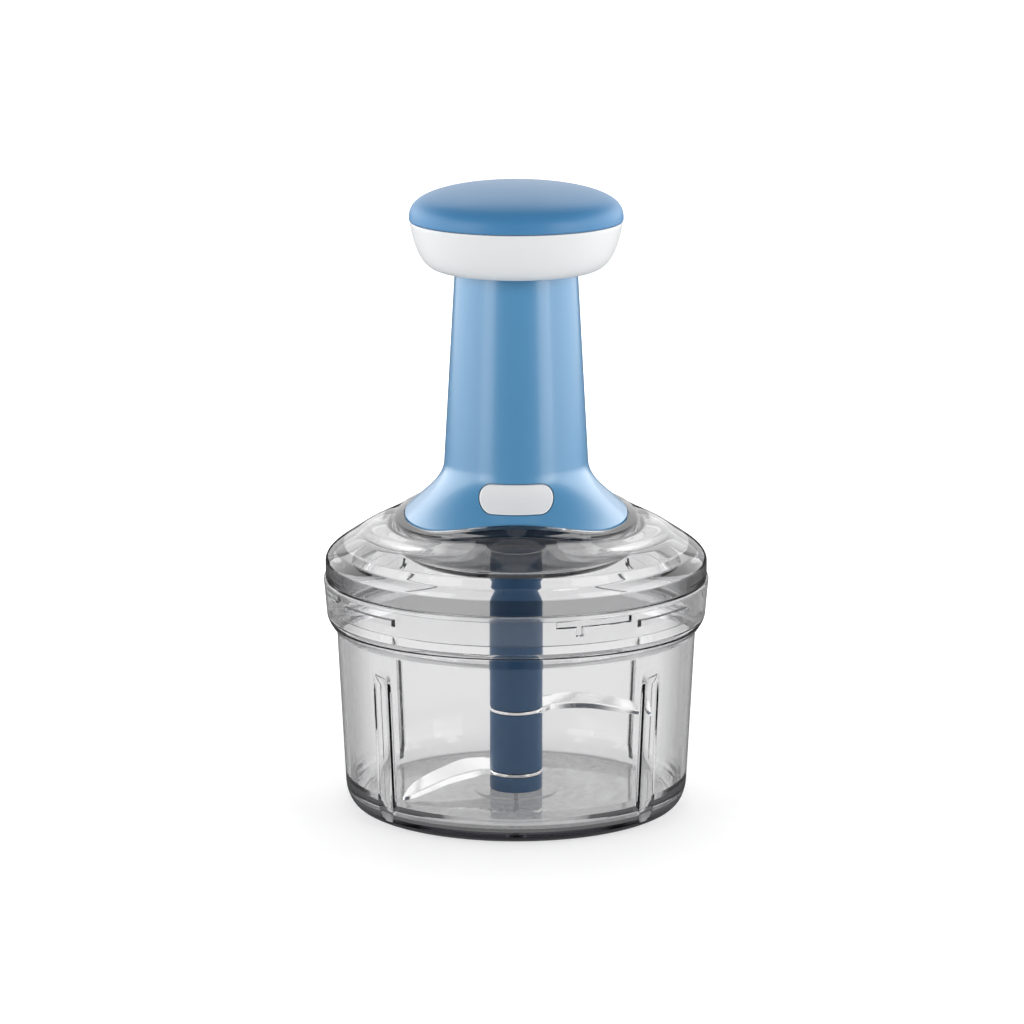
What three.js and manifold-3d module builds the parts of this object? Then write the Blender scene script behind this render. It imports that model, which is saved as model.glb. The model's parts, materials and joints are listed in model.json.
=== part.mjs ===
// Plunger food chopper: a clear bowl with a twist-lock lid, a blade stack on a steel pin,
// and a press knob whose twisted spindle spins the blades. Millimetres, +Z up.
// The origin is the centre of the bowl's underside. The lock button faces -Y, the front.
// Angles round the axis are measured from the front towards +X.

import * as THREE from 'three';
import { mergeVertices } from 'three/addons/utils/BufferGeometryUtils.js';
import Module from 'manifold-3d';

const wasm = await Module();
wasm.setup();

// Fits
const seatGap = 0.3;
const slideGap = 0.4;
const overrun = 2;

// Mesh fineness
const shellSegments = 40;
const partSegments = 28;
const smallSegments = 16;
const arcSteps = 4;
const curveSteps = 6;
const innerSteps = 4;
const turn = 2 * Math.PI;
const rightAngle = Math.PI / 2;

// Bowl
const bowlHeight = 90.2;
const bowlWall = 2.3;
const bowlRimRadius = 75;
const bowlBandTaper = 1.2;
const bowlShoulderWidth = 3.9;
const bowlWallTaper = 3;
const bowlCornerWidth = 5.5;
const bowlCornerHeight = 10.3;
const bowlShoulderDrop = 21;
const bowlShoulderHeight = 7.4;
const bowlRimWall = 2.4;
const bowlRimRound = 0.7;
const bowlShelfDrop = 13.4;
const floorThickness = 4;
const floorCornerRadius = 9;
const floorDiscRadius = 16.3;
const floorDiscRise = 0.5;

// Flutes pressed into the bowl's wall: grooves outside, ribs inside
const fluteAngles = [48.5, 131.5, 228.5, 311.5].map((degrees) => degrees * turn / 360);
const fluteRadius = 5.4;
const fluteDepth = 1.8;
const fluteTop = 61.6;

// Twist lock: lugs inside the bowl's collar and on the lid's ring
const lidLugAngles = [52, 128, 232, 308].map((degrees) => degrees * turn / 360);
const lockHalfAngle = 12 * turn / 360;
const lockOffsetAngle = 28 * turn / 360;
const lockTurnAngle = 20 * turn / 360;
const stopWidthAngle = 2 * turn / 360;
const bowlLugDrop = 4.7;
const bowlLugHeight = 2.4;
const bowlLugLength = 1.5;
const lidLugRise = 4.2;
const lidLugHeight = 2.6;
const lidLugLength = 1.5;

// Lid
const lidRimInset = 0.8;
const lidWall = 2.2;
const lidRimHeight = 6.3;
const domeRise = 21.6;
const domeHandleShares = [[0.68, 0.343], [0.985, 0.24]];
const domeFadeWidth = 13.5;
const ringInset = 4.2;
const ringWall = 2;
const ringRise = 8.7;
const ringDrop = 12.2;
const wellInset = 1.3;
const wellWall = 2;
const wellCorner = 3.6;
const wellFloorRise = 6.85;
const wellFloorThickness = 2.05;
const collarWidth = 3.7;
const collarDrop = 1.3;
const collarInnerDrop = 0.3;
const collarThickness = 3.8;
const collarTaper = 1.4;
const collarBlend = 2;

// Wavy edge where the handle's skirt meets the lid, by angle from the front
const edgeRise = 23.5;
const edgeFrontRise = 5.6;
const edgeBackRise = 5.4;
const edgeValleyAngle = 58 * turn / 360;
const edgeBackAngle = 155 * turn / 360;

// Lid seal
const sealHeight = 2.2;

// Drive base, screwed up into the handle housing
const baseRise = 10.3;
const webThickness = 3.3;
const socketRecessGap = 0.8;
const hubDrop = 2.9;
const hubWidth = 9.6;
const hubWall = 2;
const basePlateDrop = 0.4;
const basePlateThickness = 2;
const baseRimWall = 2;
const baseRimDrop = 1.6;

// Housing
const columnHeight = 102.1;
const columnTopRadius = 23.6;
const columnTaper = 4.35;
const flareHeight = 26;
const housingWall = 2.2;
const flareWidth = 15.25;
const lipHeight = 1.9;
const lipRound = 0.8;
const lipWidth = 2.6;
const lipInnerDrop = 0.9;
const flareFirstHandle = [0.3, 7.6];
const flareLastHandle = [6.4, 7.8];
const flareFollowShare = 0.4;
const flareNormals = [[1, 0.06], [0.97, 0.25], [0.62, 0.78], [0.68, 0.73]];

// Screws from the drive base into the housing's posts
const screwAngles = [60, 180, 300].map((degrees) => degrees * turn / 360);
const screwInset = 14.7;
const postRadius = 3.8;
const postHeight = 7.4;
const screwShankRadius = 1.5;
const screwShankLength = 8.4;
const screwHeadRadius = 2.9;
const screwHeadHeight = 1.8;
const screwHoleGap = 0.3;

// Press knob
const stroke = 22;
const knobOverlap = 1.3;
const knobRimInner = 28.2;
const knobRimWidth = 1.8;
const knobSeamHeight = 18.7;
const bellWidth = 11;
const capOverhang = 0.2;
const capRise = 14.34;
const capWall = 1.6;
const shellWall = 1.7;
const capRoundShares = [2 / 1.96, 2 / 2.98];
const bellFirstHandle = [6, 0.8];
const bellLastHandle = [1.6, 10.7];
const knobBossRadius = 6;

// Plunger tube, its nut and the guide bush
const tubeRadius = 17;
const tubeWall = 2;
const tubeTopThickness = 3;
const tubeTopDrop = 4.2;
const nutFlangeRise = 48.3;
const nutFlangeHeight = 7.7;
const nutFlangeWidth = 2.5;
const nutPlugHeight = 6.3;
const nutBoreGap = 1.5;
const nutThreadHeight = 5;
const nutEarLength = 2.1;
const nutEarAngle = 8 * turn / 360;
const keyWidth = 3;
const keyGap = 0.8;
const keyTopRise = 68;
const keyBottomRise = 24;
const bushLength = 10;
const bushFlangeHeight = 1;

// Twisted spindle and its socket
const spindleWidth = 10;
const spindleThickness = 3;
const spindleLead = stroke;
const spindleSlotGap = 0.4;
const spindleStepsPerTurn = 16;
const spindleStrips = 4;
const spindleReach = 10;
const journalRadius = 5;
const spindleCollarWidth = 3;
const spindleCollarHeight = 1.7;
const socketWall = 1.7;
const socketPlate = 1.8;
const dogHalfAngle = 25 * turn / 360;
const dogGap = 0.6;
const socketScrewHeadRadius = 3.4;
const socketScrewHeadHeight = 2;
const socketScrewShankRadius = 1.4;
const socketScrewLength = 6.2;

// Return spring of the knob
const springRadius = 12.4;
const springWire = 1.6;
const springTurns = 7;
const springStepsPerTurn = 10;
const springSides = 5;

// Lock button, its catch and its spring
const buttonWidth = 28.2;
const buttonHeight = 9.5;
const buttonCentre = 17.1;
const buttonGap = 0.35;
const buttonProud = 0.3;
const buttonFlange = 1.3;
const buttonFlangeThickness = 1.5;
const buttonStroke = 2.5;
const catchWidth = 9;
const catchThickness = 1.5;
const catchGap = 0.6;
const catchHookLength = 2.2;
const catchHookHeight = 2.9;
const buttonSpringRadius = 2.6;
const buttonSpringWire = 0.6;
const buttonSpringTurns = 3;
const buttonSpringOffset = 7.5;
const buttonSpringSolid = 2.4;
const buttonPostClear = 2.4;
const buttonPostWidth = 6.2;
const buttonPostThickness = 1.8;

// Blade stack
const shaftRadius = 10.3;
const footRise = 0.4;
const bladeThickness = 1.2;
const lowerBladeHeight = 11.1;
const upperBladeHeight = 36.3;
const coreRadius = 4;
const coreGap = 0.3;
const coreTopClear = 10;
const shaftNeckRadius = 5;
const wingDrop = 4.5;
const bladeReach = 51.5;
const bladeEdgeThickness = 0.25;
const upperPitch = 2.5;
const lowerPitch = 2;
const lowerBladeDip = 5.4;
const bladeSteps = 14;
const bladeBevelShare = 0.24;
const pitchShares = [0, 0.25, 0.7, 1, 0.85, 0.6, 0.3, 0];
const dipShares = [0, 0, 0.08, 0.2, 0.42, 0.66, 0.88, 1];
const upperEdgeShares = [
  [0, -0.17], [0.19, -0.11], [0.264, -0.023], [0.419, 0.019],
  [0.575, 0.008], [0.728, -0.072], [0.845, -0.132], [0.969, -0.216],
];
const upperBackShares = [
  [0, 0.25], [0.217, 0.295], [0.346, 0.299], [0.503, 0.252],
  [0.658, 0.198], [0.79, 0.148], [0.91, 0.05], [0.979, -0.205],
];
const lowerEdgeShares = [
  [0, -0.17], [-0.19, -0.113], [-0.26, -0.101], [-0.338, -0.132],
  [-0.491, -0.206], [-0.641, -0.351], [-0.765, -0.455], [-0.843, -0.48],
];
const lowerBackShares = [
  [0, 0.25], [-0.198, 0.3], [-0.3, 0.262], [-0.421, 0.212],
  [-0.575, 0.072], [-0.7, -0.04], [-0.8, -0.2], [-0.852, -0.465],
];

// Pivot pin in the bowl's floor
const pinRadius = 2.5;
const pinHeight = 10.5;
const pinDepth = 2.5;
const pinChamfer = 0.5;
const pinGap = 0.3;

// Radii that follow from the sizes above
const bowlBandLowRadius = bowlRimRadius - bowlBandTaper;
const bowlHighRadius = bowlBandLowRadius - bowlShoulderWidth;
const bowlLowRadius = bowlHighRadius - bowlWallTaper;
const bowlFootRadius = bowlLowRadius - bowlCornerWidth;
const lidRadius = bowlRimRadius - lidRimInset;
const ringOuterRadius = bowlRimRadius - ringInset;
const flareTopRadius = columnTopRadius + columnTaper;
const skirtRadius = flareTopRadius + flareWidth;
const wellRadius = skirtRadius - wellInset;
const collarRadius = skirtRadius + collarWidth;
const basePlateRadius = skirtRadius - lipWidth - seatGap;
const screwCircle = skirtRadius - screwInset;
const knobRimRadius = knobRimInner + knobRimWidth;
const knobShellRadius = knobRimRadius + bellWidth;
const capRadius = knobShellRadius + capOverhang;
const nutFlangeRadius = tubeRadius + nutFlangeWidth;
const keyInnerRadius = nutFlangeRadius + keyGap;
const nutEarRadius = keyInnerRadius + nutEarLength;
const nutBoreRadius = spindleWidth / 2 + nutBoreGap;
const bearingRadius = journalRadius + slideGap;
const spindleCollarRadius = journalRadius + spindleCollarWidth;
const socketBore = shaftRadius + slideGap;
const socketRadius = socketBore + socketWall;
const socketRecessRadius = socketRadius + socketRecessGap;
const hubRadius = socketRecessRadius + hubWidth;
const dogInnerRadius = shaftNeckRadius + dogGap;
const catchArmRadius = nutFlangeRadius + catchGap + catchHookLength + catchThickness;
const buttonPostInner = springRadius + springWire / 2 + buttonPostClear;
const buttonSpringInner = buttonPostInner + buttonPostThickness + seatGap;
const buttonSpringOuter = buttonSpringInner + buttonStroke + buttonSpringSolid;

// Heights that follow from the sizes above
const lidRimBottom = bowlHeight + seatGap;
const lidRimTop = lidRimBottom + lidRimHeight;
const wellFloorBottom = lidRimBottom + wellFloorRise;
const wellFloorTop = wellFloorBottom + wellFloorThickness;
const ringBottom = lidRimBottom - ringDrop;
const shelfHeight = bowlHeight - bowlShelfDrop;
const baseBottom = wellFloorTop + baseRise;
const webTop = baseBottom + webThickness;
const basePlateBottom = baseBottom - basePlateDrop;
const basePlateTop = basePlateBottom + basePlateThickness;
const columnTop = baseBottom + columnHeight;
const flareTop = baseBottom + flareHeight;
const knobBottom = columnTop - knobOverlap;
const knobSeam = knobBottom + knobSeamHeight;
const capBottom = knobSeam + seatGap;
const capApex = capBottom + capRise;
const shellApex = capApex - capWall - seatGap;
const tubeTop = shellApex - shellWall - tubeTopDrop;
const nutFlangeBottom = baseBottom + nutFlangeRise;
const nutFlangeTop = nutFlangeBottom + nutFlangeHeight;
const tubeBottom = nutFlangeTop + seatGap;
const socketBottom = wellFloorTop + seatGap;
const socketTop = baseBottom - seatGap;
const socketRoof = socketTop - socketPlate;
const socketScrewBottom = socketRoof - seatGap - socketScrewHeadHeight;
const shaftHeadTop = socketScrewBottom - slideGap;
const wingBottom = shaftHeadTop - wingDrop;
const spindleTop = nutFlangeTop + spindleReach;
const buttonMiddle = baseBottom + buttonCentre;
const edgeValley = lidRimBottom + edgeRise;
const floorTop = floorThickness + floorDiscRise;
const footBottom = floorTop + footRise;
const coreTop = shaftHeadTop - coreTopClear;

// A closed mesh as a solid that can be joined and cut.
function solid(geometry) {
  const bare = new THREE.BufferGeometry();
  bare.setAttribute('position', geometry.getAttribute('position').clone());
  if (geometry.index) bare.setIndex(Array.from(geometry.index.array));
  const merged = mergeVertices(bare);
  const corners = merged.index.array;
  const kept = [];
  for (let i = 0; i < corners.length; i += 3) {
    const [a, b, c] = [corners[i], corners[i + 1], corners[i + 2]];
    if (a !== b && b !== c && c !== a) kept.push(a, b, c);
  }
  const place = merged.getAttribute('position').array;
  if (signedVolume(place, kept) < 0) kept.reverse();
  return new wasm.Manifold(new wasm.Mesh({
    numProp: 3,
    vertProperties: new Float32Array(place),
    triVerts: new Uint32Array(kept),
  }));
}

// Six times the volume inside a closed mesh, negative where its faces point in.
function signedVolume(place, corners) {
  let sum = 0;
  for (let i = 0; i < corners.length; i += 3) {
    const [a, b, c] = [0, 1, 2].map((k) => new THREE.Vector3().fromArray(place, 3 * corners[i + k]));
    sum += a.dot(b.cross(c));
  }
  return sum;
}

// A solid back as a three.js geometry.
function geometryOf(body) {
  const mesh = body.getMesh();
  const geometry = new THREE.BufferGeometry();
  geometry.setAttribute('position', new THREE.BufferAttribute(new Float32Array(mesh.vertProperties), 3));
  geometry.setIndex(new THREE.BufferAttribute(new Uint32Array(mesh.triVerts), 1));
  geometry.computeVertexNormals();
  return geometry;
}

// A section turned round Z. sectionAt gives its [radius, height] points at each angle.
function turned(sectionAt, segments) {
  const first = sectionAt(0);
  const geometry = new THREE.LatheGeometry(first.map(([r, z]) => new THREE.Vector2(r, z)), segments);
  const place = geometry.getAttribute('position');
  for (let i = 0; i <= segments; i += 1) {
    const angle = turn * (i % segments) / segments;
    sectionAt(angle).forEach(([r, z], j) => {
      place.setXYZ(i * first.length + j, r * Math.sin(angle), -r * Math.cos(angle), z);
    });
  }
  return solid(geometry);
}

function lathe(section, segments = shellSegments) {
  return turned(() => section, segments);
}

function closed(section) {
  return [...section, section[0]];
}

// A disc or tube between two heights; an inner radius of 0 makes it solid.
function ring(outer, inner, bottom, top, segments = partSegments) {
  if (inner === 0) return lathe([[0, bottom], [outer, bottom], [outer, top], [0, top]], segments);
  return lathe(closed([[inner, bottom], [outer, bottom], [outer, top], [inner, top]]), segments);
}

// A piece of a ring round a middle angle.
function sector(inner, outer, middle, half, bottom, top) {
  const start = middle - half - rightAngle;
  const end = middle + half - rightAngle;
  const shape = new THREE.Shape();
  shape.absarc(0, 0, outer, start, end, false);
  shape.absarc(0, 0, inner, end, start, true);
  const steps = Math.max(2, Math.ceil(partSegments * half / Math.PI));
  const depth = top - bottom;
  const geometry = new THREE.ExtrudeGeometry(shape, { depth, bevelEnabled: false, curveSegments: steps });
  geometry.translate(0, 0, bottom);
  return solid(geometry);
}

function box(width, depth, height, x, y, z) {
  const geometry = new THREE.BoxGeometry(width, depth, height);
  geometry.translate(x, y, z);
  return solid(geometry);
}

function joined(first, ...others) {
  return others.reduce((sum, other) => sum.add(other), first);
}

function cut(first, ...others) {
  return others.reduce((rest, other) => rest.subtract(other), first);
}

// Points of a cubic curve through [radius, height] control points.
function curve(first, second, third, last, steps = curveSteps) {
  const [a, b, c, d] = [first, second, third, last].map(([r, z]) => new THREE.Vector2(r, z));
  return new THREE.CubicBezierCurve(a, b, c, d).getPoints(steps).map((p) => [p.x, p.y]);
}

// A quarter of an ellipse from its lowest point out and up to its widest.
function corner(middleRadius, middleHeight, width, height, steps = arcSteps) {
  return Array.from({ length: steps + 1 }, (_, i) => {
    const angle = rightAngle * i / steps;
    return [middleRadius + width * Math.sin(angle), middleHeight - height * Math.cos(angle)];
  });
}

// A round wire wound along an axis from bottom to top, its coils about the line x, y.
function coil(radius, wire, turns, bottom, top) {
  const steps = Math.round(turns * springStepsPerTurn);
  const rise = (top - bottom - wire) / steps;
  const positions = [];
  const corners = [];
  for (let i = 0; i <= steps; i += 1) {
    const angle = turn * i / springStepsPerTurn;
    for (let j = 0; j < springSides; j += 1) {
      const side = turn * j / springSides;
      const reach = radius + wire / 2 * Math.cos(side);
      const height = bottom + wire / 2 + i * rise + wire / 2 * Math.sin(side);
      positions.push(reach * Math.sin(angle), -reach * Math.cos(angle), height);
      if (i === steps) continue;
      const next = (j + 1) % springSides;
      const [a, b] = [i * springSides + j, i * springSides + next];
      corners.push(a, b, b + springSides, a, b + springSides, a + springSides);
    }
  }
  const last = steps * springSides;
  for (let j = 1; j < springSides - 1; j += 1) {
    corners.push(0, j + 1, j, last, last + j, last + j + 1);
  }
  const geometry = new THREE.BufferGeometry();
  geometry.setAttribute('position', new THREE.BufferAttribute(new Float32Array(positions), 3));
  geometry.setIndex(corners);
  return solid(geometry);
}

// Height of the skirt's wavy edge at an angle from the front.
function edgeHeight(angle) {
  const away = Math.abs(Math.atan2(Math.sin(angle), Math.cos(angle)));
  if (away < edgeValleyAngle) {
    return edgeValley + edgeFrontRise * (1 + Math.cos(Math.PI * away / edgeValleyAngle)) / 2;
  }
  const share = Math.min(1, (away - edgeValleyAngle) / (edgeBackAngle - edgeValleyAngle));
  return edgeValley + edgeBackRise * (1 - Math.cos(Math.PI * share)) / 2;
}

// Control points of the housing's flare at an angle, moved inwards by a distance.
function flareControls(angle, inset) {
  const edge = edgeHeight(angle);
  const lastHandleHeight = edgeValley + flareLastHandle[1] + flareFollowShare * (edge - edgeValley);
  return [
    [flareTopRadius, flareTop],
    [flareTopRadius + flareFirstHandle[0], flareTop - flareFirstHandle[1]],
    [skirtRadius - flareLastHandle[0], lastHandleHeight],
    [skirtRadius, edge],
  ].map(([r, z], i) => [r - inset * flareNormals[i][0], z - inset * flareNormals[i][1]]);
}

// Everything inside the housing's outer surface, moved inwards by a distance.
function housingCore(inset) {
  return turned((angle) => [
    [0, edgeValley - lipHeight],
    ...curve(...flareControls(angle, inset)).reverse(),
    [columnTopRadius - inset, columnTop],
    [0, columnTop],
  ], shellSegments);
}

// A bar with round ends across X that runs through the housing's front wall along Y.
function stadiumBar(width, height) {
  const half = height / 2;
  const shape = new THREE.Shape();
  shape.absarc(width / 2 - half, 0, half, -rightAngle, rightAngle, false);
  shape.absarc(half - width / 2, 0, half, rightAngle, 3 * rightAngle, false);
  const depth = skirtRadius + overrun - tubeRadius;
  const geometry = new THREE.ExtrudeGeometry(shape, { depth, bevelEnabled: false, curveSegments: arcSteps });
  geometry.rotateX(rightAngle);
  geometry.translate(0, -tubeRadius, buttonMiddle);
  return solid(geometry);
}

// A flat bar twisted by one turn each lead, for the spindle and for the slot in its nut.
function twistedBar(width, thickness, bottom, top) {
  const shape = new THREE.Shape();
  const [x, y] = [width / 2, thickness / 2];
  shape.moveTo(-x, -y);
  for (let i = 1; i <= spindleStrips; i += 1) shape.lineTo(x * (2 * i / spindleStrips - 1), -y);
  for (let i = spindleStrips; i >= 0; i -= 1) shape.lineTo(x * (2 * i / spindleStrips - 1), y);
  const steps = Math.ceil((top - bottom) / spindleLead * spindleStepsPerTurn);
  const geometry = new THREE.ExtrudeGeometry(shape, { depth: top - bottom, steps, bevelEnabled: false });
  geometry.translate(0, 0, bottom);
  const place = geometry.getAttribute('position');
  for (let i = 0; i < place.count; i += 1) {
    const angle = turn * (place.getZ(i) - webTop) / spindleLead;
    const point = new THREE.Vector2(place.getX(i), place.getY(i)).rotateAround(new THREE.Vector2(), angle);
    place.setXY(i, point.x, point.y);
  }
  return solid(geometry);
}

// A screw whose head is down and whose shank points up, headBottom being its lowest face.
function screw(headRadius, headHeight, shankRadius, length, x, y, headBottom) {
  const shoulder = headBottom + headHeight;
  const body = lathe([
    [0, headBottom],
    [headRadius, headBottom],
    [headRadius, shoulder],
    [shankRadius, shoulder],
    [shankRadius, shoulder + length - shankRadius / 2],
    [shankRadius / 2, shoulder + length],
    [0, shoulder + length],
  ], smallSegments);
  return body.translate([x, y, 0]);
}

function atAngle(radius, angle) {
  return [radius * Math.sin(angle), -radius * Math.cos(angle)];
}

// Bowl: a tapered cup with a wider collar, four flutes, lock lugs and a floor boss
function bowl() {
  const shoulderBottom = bowlHeight - bowlShoulderDrop;
  const shoulderTop = shoulderBottom + bowlShoulderHeight;
  const wallInnerLow = bowlLowRadius - bowlWall;
  const wallInnerHigh = bowlHighRadius - bowlWall;
  const collarInner = bowlRimRadius - bowlRimWall;
  const outside = lathe([
    [0, 0],
    ...corner(bowlFootRadius, bowlCornerHeight, bowlLowRadius - bowlFootRadius, bowlCornerHeight),
    ...curve(
      [bowlHighRadius, shoulderBottom],
      [bowlHighRadius + bowlShoulderWidth / 2, shoulderBottom + bowlShoulderHeight / 3],
      [bowlBandLowRadius, shoulderTop - bowlShoulderHeight / 3],
      [bowlBandLowRadius, shoulderTop],
      innerSteps,
    ),
    [bowlRimRadius, bowlHeight - bowlRimRound],
    [bowlRimRadius - bowlRimRound, bowlHeight],
    [0, bowlHeight],
  ]);
  const inside = lathe([
    [0, floorTop],
    [floorDiscRadius, floorTop],
    [floorDiscRadius, floorThickness],
    ...corner(
      wallInnerLow - floorCornerRadius,
      floorThickness + floorCornerRadius,
      floorCornerRadius,
      floorCornerRadius,
    ),
    [wallInnerHigh, shoulderBottom],
    [wallInnerHigh, shelfHeight],
    [collarInner, shelfHeight],
    [collarInner, bowlHeight + overrun],
    [0, bowlHeight + overrun],
  ]);
  const tilt = Math.atan2(bowlHighRadius - bowlLowRadius, shoulderBottom - bowlCornerHeight);
  const flute = (radius, angle) => {
    const length = fluteTop - fluteRadius;
    const shape = new THREE.CapsuleGeometry(radius, length, arcSteps, smallSegments);
    shape.rotateX(rightAngle);
    shape.translate(0, 0, -length / 2);
    shape.rotateX(tilt);
    const share = (length - bowlCornerHeight) / (shoulderBottom - bowlCornerHeight);
    const wallRadius = bowlLowRadius + share * (bowlHighRadius - bowlLowRadius);
    shape.translate(0, -(wallRadius - fluteDepth + fluteRadius), length);
    shape.rotateZ(angle);
    return solid(shape);
  };
  const hollow = cut(inside, ...fluteAngles.map((angle) => flute(fluteRadius + bowlWall, angle)));
  const lugTop = bowlHeight - bowlLugDrop + bowlLugHeight;
  const lugBottom = bowlHeight - bowlLugDrop;
  const lugInner = collarInner - bowlLugLength;
  const lockEnd = lockHalfAngle + lockTurnAngle;
  const fittings = [];
  for (const lidLug of lidLugAngles) {
    fittings.push(sector(
      lugInner,
      collarInner + seatGap,
      lidLug - lockOffsetAngle,
      lockHalfAngle,
      lugBottom,
      lugTop,
    ));
    fittings.push(sector(
      lugInner,
      collarInner + seatGap,
      lidLug - lockEnd - stopWidthAngle,
      stopWidthAngle / 2,
      ringBottom,
      lugBottom + seatGap,
    ));
  }
  const pinHoleBottom = floorTop - pinDepth - pinGap;
  const pinHole = ring(pinRadius + pinGap, 0, pinHoleBottom, floorTop + overrun, smallSegments);
  return cut(
    joined(cut(outside, hollow), ...fittings),
    pinHole,
    ...fluteAngles.map((angle) => flute(fluteRadius, angle)),
  );
}

// Steel pin that the blade stack turns on
function pivotPin() {
  const bottom = floorTop - pinDepth;
  const top = floorTop + pinHeight;
  return lathe([
    [0, bottom],
    [pinRadius, bottom],
    [pinRadius, top - pinChamfer],
    [pinRadius - pinChamfer, top],
    [0, top],
  ], smallSegments);
}

// Seal round the lid's ring, just under the rim, that presses on the bowl's collar
function lidSeal() {
  const top = lidRimBottom - seatGap;
  const inner = ringOuterRadius + seatGap;
  const outer = bowlRimRadius - bowlRimWall - seatGap;
  return ring(outer, inner, top - sealHeight, top, shellSegments);
}

// Lid: a dome down to its rim, a wavy collar, a well for the handle and a lock ring
function lid() {
  const domeTop = lidRimTop + domeRise;
  const span = lidRadius - collarRadius;
  const handles = domeHandleShares.map(([across, up]) => [
    collarRadius + across * span,
    lidRimTop + up * domeRise,
  ]);
  const dome = (inset, steps) => curve(
    [collarRadius, domeTop - inset],
    [handles[0][0] - inset / 2, handles[0][1] - inset],
    [handles[1][0] - inset, handles[1][1] - inset / 2],
    [lidRadius - inset, lidRimTop],
    steps,
  );
  const outer = dome(0, curveSteps);
  const ringInner = ringOuterRadius - ringWall;
  const inner = dome(lidWall, curveSteps).filter(([r]) => r < ringInner - ringWall).slice(1);
  const fade = (r) => 1 - THREE.MathUtils.smoothstep(r, collarRadius, collarRadius + domeFadeWidth);
  const wellOuter = wellRadius + wellWall;
  const recess = skirtRadius + slideGap;
  const hole = shaftRadius + slideGap;
  const shell = turned((angle) => {
    const edge = edgeHeight(angle);
    const crest = edge - collarDrop;
    const waved = ([r, z]) => [r, z + (crest - domeTop) * fade(r)];
    const seat = edge - lipHeight - seatGap;
    const under = crest - collarThickness;
    return closed([
      [hole, wellFloorTop],
      [wellRadius, wellFloorTop],
      [wellRadius, seat],
      [recess, seat],
      [recess, edge - collarInnerDrop],
      ...outer.map(waved),
      [lidRadius, lidRimBottom],
      [ringOuterRadius, lidRimBottom],
      [ringOuterRadius, ringBottom],
      [ringInner, ringBottom],
      [ringInner, lidRimBottom + ringRise],
      ...inner.map(waved).reverse(),
      [collarRadius - collarTaper, under],
      [wellOuter, under - collarBlend],
      ...corner(wellOuter - wellCorner, wellFloorBottom + wellCorner, wellCorner, wellCorner).reverse(),
      [hole, wellFloorBottom],
    ]);
  }, shellSegments);
  const lugs = lidLugAngles.map((middle) => sector(
    ringOuterRadius - seatGap,
    ringOuterRadius + lidLugLength,
    middle,
    lockHalfAngle,
    ringBottom + lidLugRise,
    ringBottom + lidLugRise + lidLugHeight,
  ));
  return joined(shell, ...lugs);
}

// Housing: the column, its flare down to the wavy skirt, screw posts and key ribs
function handleHousing() {
  const shell = turned((angle) => {
    const edge = edgeHeight(angle);
    const controls = flareControls(angle, housingWall);
    controls[3] = [skirtRadius - lipWidth, edge - lipInnerDrop];
    return closed([
      [columnTopRadius, columnTop],
      ...curve(...flareControls(angle, 0)),
      [skirtRadius, edge - lipHeight / 2],
      [skirtRadius - lipRound, edge - lipHeight],
      [skirtRadius - lipWidth, edge - lipHeight],
      ...curve(...controls, innerSteps).reverse(),
      [columnTopRadius - housingWall, columnTop],
    ]);
  }, shellSegments);
  const postBottom = basePlateTop + seatGap;
  const posts = screwAngles.map((angle) => {
    const [x, y] = atAngle(screwCircle, angle);
    return ring(postRadius, 0, postBottom, flareTop, smallSegments).translate([x, y, 0]);
  });
  const holes = screwAngles.map((angle) => {
    const [x, y] = atAngle(screwCircle, angle);
    const top = postBottom + postHeight;
    return ring(screwShankRadius + screwHoleGap, 0, postBottom - overrun, top, smallSegments)
      .translate([x, y, 0]);
  });
  const keyLength = flareTopRadius - keyInnerRadius;
  const keyHeight = keyTopRise - keyBottomRise;
  const keys = [-1, 1].map((side) => box(
    keyLength,
    keyWidth,
    keyHeight,
    side * (keyInnerRadius + keyLength / 2),
    0,
    baseBottom + keyBottomRise + keyHeight / 2,
  ));
  const additions = joined(...posts, ...keys).intersect(housingCore(housingWall / 2));
  const window = stadiumBar(buttonWidth + 2 * buttonGap, buttonHeight + 2 * buttonGap);
  return cut(joined(shell, additions), window, ...holes);
}

// Drive base: a plate with a wavy rim inside the skirt, and a hub that holds the spindle's bearing
function driveBase() {
  const hubBottom = baseBottom - hubDrop;
  const recessWall = socketRecessRadius + hubWall;
  const body = turned((angle) => {
    const rimTop = edgeHeight(angle) - baseRimDrop;
    return closed([
      [bearingRadius, baseBottom],
      [socketRecessRadius, baseBottom],
      [socketRecessRadius, hubBottom],
      [hubRadius, hubBottom],
      [hubRadius, basePlateBottom],
      [basePlateRadius, basePlateBottom],
      [basePlateRadius, rimTop],
      [basePlateRadius - baseRimWall, rimTop],
      [basePlateRadius - baseRimWall, basePlateTop],
      [hubRadius - hubWall, basePlateTop],
      [hubRadius - hubWall, hubBottom + hubWall],
      [recessWall, hubBottom + hubWall],
      [recessWall, webTop],
      [bearingRadius, webTop],
    ]);
  }, shellSegments);
  const postBottom = hubBottom + hubWall - seatGap;
  const postTop = buttonMiddle + buttonSpringRadius;
  const post = box(
    buttonPostWidth,
    buttonPostThickness,
    postTop - postBottom,
    buttonSpringOffset,
    -(buttonPostInner + buttonPostThickness / 2),
    (postTop + postBottom) / 2,
  );
  const holes = screwAngles.map((angle) => {
    const [x, y] = atAngle(screwCircle, angle);
    return ring(screwShankRadius + screwHoleGap, 0, hubBottom, basePlateTop + overrun, smallSegments)
      .translate([x, y, 0]);
  });
  return cut(joined(body, post), ...holes);
}

function baseScrew(angle) {
  const [x, y] = atAngle(screwCircle, angle);
  const bottom = basePlateBottom - seatGap - screwHeadHeight;
  return screw(screwHeadRadius, screwHeadHeight, screwShankRadius, screwShankLength, x, y, bottom);
}

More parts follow.
